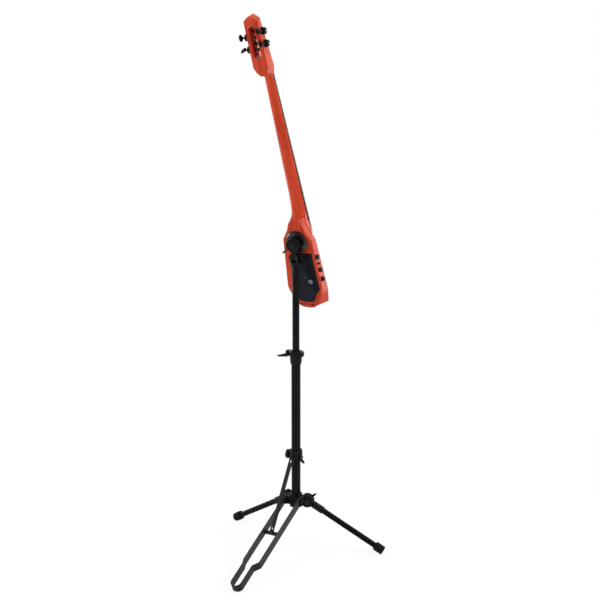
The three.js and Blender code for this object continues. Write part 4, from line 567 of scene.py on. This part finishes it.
def socket_screw(radius, height):
    """A turned head with a chamfered rim and a six-sided socket."""
    work = bmesh.new()
    chamfer = height * SCREW_CHAMFER
    rows = (
        (radius, 0.0),
        (radius, height - chamfer),
        (radius - chamfer, height),
        (radius * SCREW_LAND, height),
    )
    rings = [ring_of(work, SCREW_SIDES, lambda turn, reach=reach: reach, rise) for reach, rise in rows]
    for rise in (height, height * SOCKET_FLOOR):
        rings.append(ring_of(work, SCREW_SIDES, lambda turn: hexagonal(radius * SOCKET_REACH, turn), rise))
    capped(work, rings)
    return meshed(work, "screw")


def sharpened(thing, angle=40.0):
    """Keeps creases sharper than the angle when the piece is smooth shaded."""
    work = bmesh.new()
    work.from_mesh(thing.data)
    for edge in work.edges:
        edge.smooth = edge.calc_face_angle(0.0) < math.radians(angle)
    work.to_mesh(thing.data)
    work.free()
    return thing


def screw(name, place, along, size, body, slot_name="blackened_steel", finish=None):
    """A socket head of (radius, height) at a place, facing along."""
    return sharpened(placed(name, socket_screw(*size), standing(place, along), body, slot_name, finish))


# How far the small parts reach down into the surface they sit on
SEATED = 0.3 * MM
DOME_ANGLES = (0.0, 0.35, 0.7, 1.05, 1.35)
DOME_SIDES = 24


def domed(name, place, along, size, body, slot_name="blackened_steel"):
    """A rivet or cap of (radius, height) with a low domed head."""
    radius, height = size
    arc = [(radius * math.cos(angle), height * math.sin(angle)) for angle in DOME_ANGLES]
    mesh = lathe([(0, -SEATED), (radius, -SEATED), *arc, (0, height)], DOME_SIDES)
    return sharpened(placed(name, mesh, standing(place, along), body, slot_name))


RING_SIDES = 48
RING_CHAMFER = 0.3


def raised_ring(name, place, along, size, body, slot_name):
    """A ring of (inner radius, outer radius, height) with chamfered rims, seated in its surface."""
    inner, outer, height = size
    edge = height * RING_CHAMFER
    profile = [
        (inner, -SEATED),
        (outer, -SEATED),
        (outer, height - edge),
        (outer - edge, height),
        (inner + edge, height),
        (inner, height - edge),
    ]
    return sharpened(placed(name, ring_mesh(profile, RING_SIDES), standing(place, along), body, slot_name))


# Where things are on the frame


def joint_place(name):
    return Vector(JOINTS[name]["pos_m"])


def joint_axis(name):
    return Vector(JOINTS[name]["axis"]).normalized()


def corners_of(name):
    """All corners of a CAD node's mesh in the row frame."""
    thing = NODES[name]
    return [thing.matrix_world @ corner.co for corner in thing.data.vertices]


def middle_of(name):
    """The middle of a CAD node's box."""
    corners = [NODES[name].matrix_world @ Vector(corner) for corner in NODES[name].bound_box]
    return sum(corners, Vector()) / len(corners)


def outer_face(name):
    """The middle of a round CAD node's outer face on the cello's back."""
    corners = corners_of(name)
    reach = max(corner.dot(CELLO_BACK) for corner in corners)
    centre = sum(corners, Vector()) / len(corners)
    return centre + CELLO_BACK * (reach - centre.dot(CELLO_BACK))


# How far outside the pieces the rays start that find their surface
CLEAR = 0.1


def surface_point(name, target, outwards, clear=CLEAR):
    """Where a ray from outside, back through a target, first meets a CAD node, and the normal there."""
    start = Vector(target) + outwards * clear
    found, place, normal, _face = NODES[name].ray_cast(start, -outwards.normalized())
    if not found:
        raise ValueError(f"no surface of {name} from {tuple(start)}")
    return place, normal


# Stage: floor, backdrop, lamps and the camera

# From how far round the object the floor goes from keeping its shadow to the backdrop's white
FLOOR_FADE = {"From Min": 0.9, "From Max": 2.2, "To Min": 0.86, "To Max": 1.0}


def stage_material(name):
    """White where the camera, metal and glass look at it, with the object's shadow kept near it."""
    made = bpy.data.materials.new(name)
    made.use_nodes = True
    tree = made.node_tree
    tree.nodes.clear()
    output = node(tree, "ShaderNodeOutputMaterial")
    paper = node(tree, "ShaderNodeBsdfDiffuse", {"Color": (0.86, 0.86, 0.86, 1)})
    white = node(tree, "ShaderNodeEmission", {"Color": (1, 1, 1, 1), "Strength": 1.0})
    blend = node(tree, "ShaderNodeMixShader")
    rays = node(tree, "ShaderNodeLightPath")
    seen = node(tree, "ShaderNodeMath", operation="MAXIMUM")
    either = node(tree, "ShaderNodeMath", operation="MAXIMUM")
    share = node(tree, "ShaderNodeMath", operation="MULTIPLY")
    place = node(tree, "ShaderNodeTexCoord")
    reach = node(tree, "ShaderNodeVectorMath", operation="LENGTH")
    fade = node(tree, "ShaderNodeMapRange", FLOOR_FADE)
    tree.links.new(place.outputs["Object"], reach.inputs[0])
    tree.links.new(reach.outputs["Value"], fade.inputs["Value"])
    tree.links.new(fade.outputs["Result"], share.inputs[1])
    tree.links.new(rays.outputs["Is Camera Ray"], seen.inputs[0])
    tree.links.new(rays.outputs["Is Glossy Ray"], seen.inputs[1])
    tree.links.new(seen.outputs[0], either.inputs[0])
    tree.links.new(rays.outputs["Is Transmission Ray"], either.inputs[1])
    tree.links.new(either.outputs[0], share.inputs[0])
    tree.links.new(share.outputs[0], blend.inputs[0])
    tree.links.new(paper.outputs[0], blend.inputs[1])
    tree.links.new(white.outputs[0], blend.inputs[2])
    tree.links.new(blend.outputs[0], output.inputs["Surface"])
    return made


FLOOR_SIZE = 30.0


def make_floor():
    mesh = bpy.data.meshes.new("floor")
    half = FLOOR_SIZE / 2
    corners = [(-half, -half, 0), (half, -half, 0), (half, half, 0), (-half, half, 0)]
    mesh.from_pydata(corners, [], [(0, 1, 2, 3)])
    floor = bpy.data.objects.new("floor", mesh)
    bpy.context.scene.collection.objects.link(floor)
    mesh.materials.append(stage_material("floor_paper"))


WORLD_LEVEL = 0.62
# How white the studio is in reflections, from the dark room on the player's side to the backdrop
ROOM_DIRECTION = (-0.482, 0.876, 0.0)
ROOM_FADE = {"From Min": -0.1, "From Max": 0.55, "To Min": 0.3, "To Max": 1.0}


def make_world():
    """White behind the object, also in reflections; the room on the player's side reflects dark."""
    world = bpy.data.worlds.new("studio")
    world.use_nodes = True
    tree = world.node_tree
    tree.nodes.clear()
    output = node(tree, "ShaderNodeOutputWorld")
    light = node(tree, "ShaderNodeBackground", {"Color": (1, 1, 1, 1), "Strength": WORLD_LEVEL})
    white = node(tree, "ShaderNodeBackground", {"Color": (1, 1, 1, 1)})
    blend = node(tree, "ShaderNodeMixShader")
    rays = node(tree, "ShaderNodeLightPath")
    seen = node(tree, "ShaderNodeMath", operation="MAXIMUM")
    either = node(tree, "ShaderNodeMath", operation="MAXIMUM")
    level = node(tree, "ShaderNodeMath", operation="MAXIMUM")
    place = node(tree, "ShaderNodeTexCoord")
    toward = node(tree, "ShaderNodeVectorMath", {1: ROOM_DIRECTION}, operation="DOT_PRODUCT")
    fade = node(tree, "ShaderNodeMapRange", ROOM_FADE)
    tree.links.new(place.outputs["Generated"], toward.inputs[0])
    tree.links.new(toward.outputs["Value"], fade.inputs["Value"])
    tree.links.new(fade.outputs["Result"], level.inputs[0])
    tree.links.new(rays.outputs["Is Camera Ray"], level.inputs[1])
    tree.links.new(level.outputs[0], white.inputs["Strength"])
    tree.links.new(rays.outputs["Is Camera Ray"], seen.inputs[0])
    tree.links.new(rays.outputs["Is Glossy Ray"], seen.inputs[1])
    tree.links.new(seen.outputs[0], either.inputs[0])
    tree.links.new(rays.outputs["Is Transmission Ray"], either.inputs[1])
    tree.links.new(either.outputs[0], blend.inputs[0])
    tree.links.new(light.outputs[0], blend.inputs[1])
    tree.links.new(white.outputs[0], blend.inputs[2])
    tree.links.new(blend.outputs[0], output.inputs["Surface"])
    bpy.context.scene.world = world


def camera_frame():
    """The camera's right, up and looking directions."""
    flat = Vector((-math.sin(CAMERA_AZIMUTH), math.cos(CAMERA_AZIMUTH), 0))
    across = Vector((math.cos(CAMERA_AZIMUTH), math.sin(CAMERA_AZIMUTH), 0))
    ahead = flat * math.cos(CAMERA_YAW) + across * math.sin(CAMERA_YAW)
    right = across * math.cos(CAMERA_YAW) - flat * math.sin(CAMERA_YAW)
    above = Vector((0, 0, 1))
    looking = ahead * math.cos(CAMERA_PITCH) - above * math.sin(CAMERA_PITCH)
    up = above * math.cos(CAMERA_PITCH) + ahead * math.sin(CAMERA_PITCH)
    return right, up, looking, -flat


def make_camera():
    right, up, looking, back = camera_frame()
    data = bpy.data.cameras.new("camera")
    data.sensor_width = SENSOR
    data.lens = CAMERA_FOCAL_PIXELS / PHOTO_WIDTH * SENSOR
    data.clip_end = 100
    camera = bpy.data.objects.new("camera", data)
    place = Vector((MAST_PLACE.x, MAST_PLACE.y, 0)) + back * CAMERA_DISTANCE
    place.z = CAMERA_HEIGHT
    matrix = Matrix((right, up, -looking)).transposed().to_4x4()
    matrix.translation = place
    camera.matrix_world = matrix
    bpy.context.scene.collection.objects.link(camera)
    bpy.context.scene.camera = camera


LAMP_AIM = 1.15


def lamp(name, across, height, ahead, size, watts):
    """A softbox placed from the mast in the camera's own directions, aimed at the middle."""
    right, _up, _looking, back = camera_frame()
    data = bpy.data.lights.new(name, "AREA")
    data.shape = "RECTANGLE"
    data.size, data.size_y = size
    data.energy = watts
    light = bpy.data.objects.new(name, data)
    foot = Vector((MAST_PLACE.x, MAST_PLACE.y, 0))
    place = foot + right * across + back * ahead + Vector((0, 0, height))
    aim = foot + Vector((0, 0, LAMP_AIM))
    light.matrix_world = standing(place, place - aim)
    light.visible_camera = False
    bpy.context.scene.collection.objects.link(light)


# Each softbox: how far across, its height, how far ahead of the mast, its two sizes and its watts
LAMPS = (
    ("key", 2.6, 3.0, 1.2, (0.7, 2.0), 66),
    ("fill", -2.8, 1.8, 1.4, (0.6, 2.4), 38),
    ("top", 0.4, 4.2, -0.6, (2.4, 2.4), 36),
    ("rim_right", 2.6, 1.4, -1.9, (0.12, 2.8), 26),
    ("rim_left", -2.6, 1.4, -1.9, (0.12, 2.8), 22),
)


def make_lamps():
    for row in LAMPS:
        lamp(*row)


# Small parts of the instrument that the solids leave out

# Places on the cello's back, as shares of the body's half width and length
BODY_HALF_WIDTH = 74 * MM
BODY_LENGTH = 352 * MM
MOUNT_HEIGHT = 266.5 * MM
COVER_SCREW_SHARES = ((0.6, 0.6), (-0.4, 0.6), (0.76, 0.25), (-0.62, 0.25), (0.4, 0.08), (-0.4, 0.08))
COVER_SCREW = (2.6 * MM, 1.1 * MM)


def on_back(across, along):
    """A point in the plane of the cello's back."""
    return MOUNT_PLACE + CELLO_UP * (along - MOUNT_HEIGHT) + ACROSS * across


def cover_screws():
    """Six screws round the rear cover's edge."""
    for count, (across, along) in enumerate(COVER_SCREW_SHARES, 1):
        target = on_back(across * BODY_HALF_WIDTH, along * BODY_LENGTH)
        place, _normal = surface_point("rear_cover", target, CELLO_BACK)
        screw(f"cover_screw_{count}", place, CELLO_BACK, COVER_SCREW, "instrument")


# Each string, the post it goes to, where on it, its radius and how many turns it takes
STRING_POSTS = (
    ("a", 4, -7.98 * MM, 0.45 * MM, 3.3),
    ("d", 2, -2.66 * MM, 0.55 * MM, 3.3),
    ("g", 1, 2.66 * MM, 0.65 * MM, 2.6),
    ("c", 3, 7.98 * MM, 0.8 * MM, 2.6),
)
ROLLER_RADIUS = 5.6 * MM
WINDING_STEPS = 22
WINDING_SIDES = 8
# Shares of the string's radius: how far its middle is off the roller, and from one turn to the next
WINDING_LIFT = 1.06
WINDING_PITCH = 2.15
# The string's end dives into the post over the last few steps
DIVE_STEPS = 4
DIVE_DEPTH = 0.35


def string_windings():
    """Each string's turns round its post, beside where it arrives, to its end in the post."""
    front = Vector((0, math.cos(NECK_LEAN), math.sin(NECK_LEAN)))
    for letter, post, across, radius, turns in STRING_POSTS:
        centre = joint_place(f"post_{post}_turn")
        heading = math.copysign(1, across)
        if abs(across) > ROLLER_RADIUS:
            heading = -heading
        count = int(turns * WINDING_STEPS)
        points = []
        for step in range(count + 1):
            turn = FULL_TURN * step / WINDING_STEPS
            dive = max(0.0, step - count + DIVE_STEPS) / DIVE_STEPS
            reach = (ROLLER_RADIUS + radius * WINDING_LIFT) * (1 - DIVE_DEPTH * dive)
            shift = across + heading * radius * WINDING_PITCH * (1 + step / WINDING_STEPS)
            out = (front * math.cos(turn) + NECK_UP * math.sin(turn)) * reach
            points.append(centre + ACROSS * shift + out)
        mesh = tube(points, radius, WINDING_SIDES, "winding")
        placed(f"winding_{letter}", mesh, Matrix(), f"post_{post}", "bright_steel")


TAIL_HEIGHT = 4 * MM
TAIL_PITCH = 16.5 * MM
TAIL_SHARES = (-1.5, -0.5, 0.5, 1.5)
# Radius and height of a sleeve's outline in millimetres, from deep in its hole to its lip
FERRULE_OUTLINE = (
    (2.5, -9), (3.25, -9), (3.25, -0.2), (4.3, 0.05), (4.3, 0.35), (4.0, 0.6), (2.9, 0.6), (2.5, 0.2)
)
FERRULE_SIDES = 32


def tail_ferrules():
    """Blackened sleeves in the four string holes of the tail."""
    profile = [(radius * MM, height * MM) for radius, height in FERRULE_OUTLINE]
    for count, share in enumerate(TAIL_SHARES, 1):
        matrix = standing(on_back(share * TAIL_PITCH, TAIL_HEIGHT), CELLO_BACK)
        mesh = ring_mesh(profile, FERRULE_SIDES)
        sharpened(placed(f"tail_ferrule_{count}", mesh, matrix, "instrument", "blackened_steel"))


TUNERS = (1, 2, 3, 4)
TUNER_CAP = (6.4 * MM, 1.5 * MM)
TUNER_SCREW = (2.9 * MM, 1.0 * MM)
TUNER_SCREW_RISE = 1.3 * MM


def tuner_caps():
    """The worm wheel's cap and its screw on each tuning machine's case."""
    for count in TUNERS:
        case = f"tuner_{count}_case"
        out = ACROSS * math.copysign(1, middle_of(case).x)
        place, normal = surface_point(case, joint_place(f"post_{count}_turn"), out)
        domed(f"tuner_{count}_cap", place, normal, TUNER_CAP, "instrument", "black_casting")
        tip = place + normal * TUNER_SCREW_RISE
        screw(f"tuner_{count}_screw", tip, normal, TUNER_SCREW, "instrument", "bright_steel", CHROME)


# Rise, width and thickness of a tuning key's thumb piece, as shares, from its stem to its tip
KEY_SHARES = (
    (0, 0.26, 0.9),
    (0.1, 0.42, 1),
    (0.24, 0.78, 0.98),
    (0.42, 0.97, 0.9),
    (0.58, 1, 0.84),
    (0.75, 0.93, 0.76),
    (0.89, 0.7, 0.64),
    (0.97, 0.42, 0.48),
    (1, 0.2, 0.3),
)
KEY_STEM = 2.8 * MM
KEY_HALF_WIDTH = 12 * MM
KEY_HALF_THICKNESS = 3 * MM
KEY_PADDLE = 24 * MM
KEY_NECK = 4 * MM
KEY_SIDES = 28
KEY_CREASE = 50.0
# Powers below 1 that flatten the oval's ends and its broad faces
KEY_END_POWER = 0.9
KEY_FACE_POWER = 0.8


def powered(value, power):
    return math.copysign(abs(value) ** power, value)


def tuner_key(work, centre, corners, axis):
    """Rings of one key, from its stem to its tip, as broad and as turned as the plain one."""
    start = min(corner.dot(axis) for corner in corners)
    tip = max(corner.dot(axis) for corner in corners)
    broad = max(corners, key=lambda corner: (corner - axis * corner.dot(axis)).length)
    side = (broad - axis * broad.dot(axis)).normalized()
    face = axis.cross(side)
    root = tip - KEY_PADDLE
    rows = [(start, KEY_STEM, KEY_STEM), (root - KEY_NECK, KEY_STEM, KEY_STEM)]
    for rise, wide, deep in KEY_SHARES:
        rows.append((root + rise * KEY_PADDLE, wide * KEY_HALF_WIDTH, deep * KEY_HALF_THICKNESS))
    rings = []
    for rise, half_width, half_depth in rows:
        ring = []
        for turn in round_angles(KEY_SIDES):
            wide = powered(math.cos(turn), KEY_END_POWER) * half_width
            deep = powered(math.sin(turn), KEY_FACE_POWER) * half_depth
            ring.append(work.verts.new(centre + axis * rise + side * wide + face * deep))
        rings.append(ring)
    return rings


def tuner_keys():
    """Smooth thumb pieces for the four keys, in the places and at the turns of the plain ones."""
    for count in TUNERS:
        name = f"tuner_{count}_key"
        centre = joint_place(f"key_{count}_turn")
        axis = joint_axis(f"key_{count}_turn")
        corners = [corner - centre for corner in corners_of(name)]
        if sum(corner.dot(axis) for corner in corners) < 0:
            axis = -axis
        work = bmesh.new()
        capped(work, tuner_key(work, centre, corners, axis))
        mesh = meshed(work, "key")
        thing = placed(f"tuner_key_cap_{count}", mesh, Matrix(), f"key_{count}", "black_machine_head")
        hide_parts(name)
        sharpened(thing, KEY_CREASE)


KNOB_RADIUS = 9 * MM
KNOB_RISE = 10 * MM
KNOB_CREASE = 50.0
KNOB_FLUTES = 18
KNOB_SIDES = 108
# Radius, height and flute depth, as shares, from the knob's foot to its top
KNOB_SHARES = (
    (0.97, 0.06, 0.0),
    (1.0, 0.12, 0.05),
    (0.985, 0.75, 0.05),
    (0.93, 0.9, 0.02),
    (0.8, 0.985, 0.0),
    (0.3, 1.0, 0.0),
)


def control_knobs():
    """Fluted caps over the three plain control knobs."""
    rows = [(r * KNOB_RADIUS, h * KNOB_RISE, d * KNOB_RADIUS) for r, h, d in KNOB_SHARES]
    for name in ("volume", "tone", "blend"):
        axis = joint_axis(f"{name}_turn")
        out = axis if axis.x > 0 else -axis
        matrix = standing(joint_place(f"{name}_turn"), out)
        mesh = fluted(rows, KNOB_FLUTES, KNOB_SIDES)
        thing = placed(f"{name}_knob_cap", mesh, matrix, f"{name}_knob", "black_plastic")
        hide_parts(f"{name}_knob")
        sharpened(thing, KNOB_CREASE)


# Reach and height of the jack nut's outline in millimetres, and whether it is six-sided there
NUT_OUTLINE = (
    (8.2, -0.1, True),
    (8.2, 1.9, True),
    (7.7, 2.3, True),
    (5.0, 2.3, False),
    (4.7, 1.9, False),
    (4.7, -0.1, False),
)
NUT_SIDES = 24
NUT_CREASE = 35.0
BEZEL = (2.35 * MM, 3.5 * MM, 0.6 * MM)
BEZEL_DEPTH = 0.7 * MM


def jack_nut():
    """The socket's six-sided nut and the status light's bezel."""
    work = bmesh.new()
    rows = []
    for reach, rise, six_sided in NUT_OUTLINE:

        def reach_at(turn, reach=reach, six_sided=six_sided):
            return (hexagonal(reach, turn) if six_sided else reach) * MM

        rows.append(ring_of(work, NUT_SIDES, reach_at, rise * MM))
    skinned(work, rows + rows[:1])
    matrix = standing(outer_face("jack_socket"), CELLO_BACK)
    nut = placed("jack_nut", meshed(work, "nut"), matrix, "instrument", "bright_steel", NICKEL)
    sharpened(nut, NUT_CREASE)
    light = outer_face("status_light") - CELLO_BACK * BEZEL_DEPTH
    raised_ring("light_bezel", light, CELLO_BACK, BEZEL, "instrument", "black_plastic")


# Small parts of the stand that the solids leave out

DISC_SCREW_DEGREES = (38, 142, 218, 322)
DISC_SCREW_CIRCLE = 32.5 * MM
DISC_SCREW = (2.9 * MM, 1.5 * MM)
DRUM_RING = (18.5 * MM, 21.5 * MM, 1.2 * MM)
DRUM_BOLT = (6.2 * MM, 3.2 * MM)
DRUM_CLEAR = 0.2


def mount_details():
    """Screws of the mount disc, and the ring and bolt in the clutch drum's face."""
    for count, degrees in enumerate(DISC_SCREW_DEGREES, 1):
        turn = math.radians(degrees)
        offset = (ACROSS * math.cos(turn) + CELLO_UP * math.sin(turn)) * DISC_SCREW_CIRCLE
        place, normal = surface_point("mount_disc", MOUNT_PLACE + offset, CELLO_BACK)
        screw(f"disc_screw_{count}", place, normal, DISC_SCREW, "instrument")
    face, normal = surface_point("tilt_arm", MOUNT_PLACE, CELLO_BACK, DRUM_CLEAR)
    raised_ring("drum_ring", face, normal, DRUM_RING, "tilt_arm", "black_casting")
    screw("drum_bolt", face, normal, DRUM_BOLT, "tilt_arm")


HINGE_RING = (19.5 * MM, 22.5 * MM, 1.1 * MM)
HINGE_RING_REACH = 12 * MM
HINGE_SCREW = (5.8 * MM, 1.8 * MM)
# The crossbar's place on the loop leg: the leg's slope, how far out along it and how far under it
LOOP_SLOPE = math.radians(24)
CROSSBAR_REACH = 174.6 * MM
CROSSBAR_DROP = 7 * MM
CROSSBAR_RIVET = (5.6 * MM, 2.4 * MM)
LOOP_PIN_CAP = (6.6 * MM, 1.8 * MM)


def hinge_details():
    """Raised rings and socket heads on the leg hinges, and caps on the loop's pin and crossbar."""
    for side in ("right", "left"):
        centre = joint_place(f"{side}_leg_fold")
        axis = joint_axis(f"{side}_leg_fold")
        near = axis if axis.y < 0 else -axis
        seat = centre + near * HINGE_RING_REACH
        raised_ring(f"{side}_hinge_ring", seat, near, HINGE_RING, "base", "black_casting")
        place, normal = surface_point(f"{side}_leg_bolt", centre, near)
        screw(f"{side}_hinge_screw", place, normal, HINGE_SCREW, "base")
    hinge = joint_place("loop_fold")
    outwards = Vector((0, -math.cos(LOOP_SLOPE), -math.sin(LOOP_SLOPE)))
    above = Vector((0, -math.sin(LOOP_SLOPE), math.cos(LOOP_SLOPE)))
    bar = hinge + outwards * CROSSBAR_REACH - above * CROSSBAR_DROP
    for name, out in (("right", ACROSS), ("left", -ACROSS)):
        place, normal = surface_point("loop_leg", bar, out)
        domed(f"crossbar_rivet_{name}", place, normal, CROSSBAR_RIVET, "loop")
        place, normal = surface_point("loop_pin", hinge, out)
        domed(f"loop_pin_cap_{name}", place, normal, LOOP_PIN_CAP, "base")


# Each locking lever's joint and node, and the radius and height of the bolt head it turns on
LEVER_BOLTS = (
    ("collar_lever_turn", "collar_lever", (3.4 * MM, 2.0 * MM)),
    ("clamp_lever_turn", "clamp_lever", (4.6 * MM, 2.0 * MM)),
    ("leg_lock_turn", "leg_lock_lever", (5.4 * MM, 2.0 * MM)),
)
LEVER_CLEAR = 0.06


def lever_bolts():
    """The bolt heads that the three locking levers turn on."""
    for joint, name, size in LEVER_BOLTS:
        centre = joint_place(joint)
        axis = joint_axis(joint)
        out = axis if (middle_of(name) - centre).dot(axis) > 0 else -axis
        place, normal = surface_point(name, centre, out, LEVER_CLEAR)
        screw(f"{name}_bolt", place, normal, size, JOINTS[joint]["child"])


FOOT_LENGTH = 36 * MM
FOOT_RADIUS = 17 * MM
FOOT_RIB = 0.5 * MM
FOOT_RIB_PITCH = 5.4 * MM
FOOT_RIBS = (1, 2, 3, 4)
FOOT_RIB_CORNERS = 8
FOOT_SIDES = 40


def foot_ribs():
    """Grip rings round each rubber foot, above where it stands on the floor."""
    profile = []
    for turn in round_angles(FOOT_RIB_CORNERS):
        profile.append((FOOT_RADIUS + FOOT_RIB * math.cos(turn), FOOT_RIB * math.sin(turn)))
    for side in ("right", "left"):
        hinge = joint_place(f"{side}_leg_fold")
        along = (middle_of(f"{side}_leg_tube") - hinge).normalized()
        end = max((corner - hinge).dot(along) for corner in corners_of(f"{side}_leg_foot"))
        for count in FOOT_RIBS:
            place = hinge + along * (end - FOOT_LENGTH + count * FOOT_RIB_PITCH)
            mesh = ring_mesh(profile, FOOT_SIDES)
            placed(f"{side}_foot_rib_{count}", mesh, standing(place, along), f"{side}_leg", "rubber")


COLLAR_SCREW = (3.4 * MM, 1.8 * MM)
COLLAR_SCREW_RISE = 7 * MM


def collar_screws():
    """The socket screw that closes the collar's split block."""
    middle = middle_of("collar")
    target = Vector((0, middle.y, middle.z + COLLAR_SCREW_RISE))
    place, normal = surface_point("collar", target, ACROSS)
    screw("collar_screw", place, normal, COLLAR_SCREW, "collar")


dress_frame()
make_floor()
make_world()
make_camera()
make_lamps()

cover_screws()
string_windings()
tail_ferrules()
tuner_caps()
tuner_keys()
mount_details()
hinge_details()
lever_bolts()
foot_ribs()
control_knobs()
jack_nut()
collar_screws()

bpy.context.scene.view_settings.view_transform = "Standard"
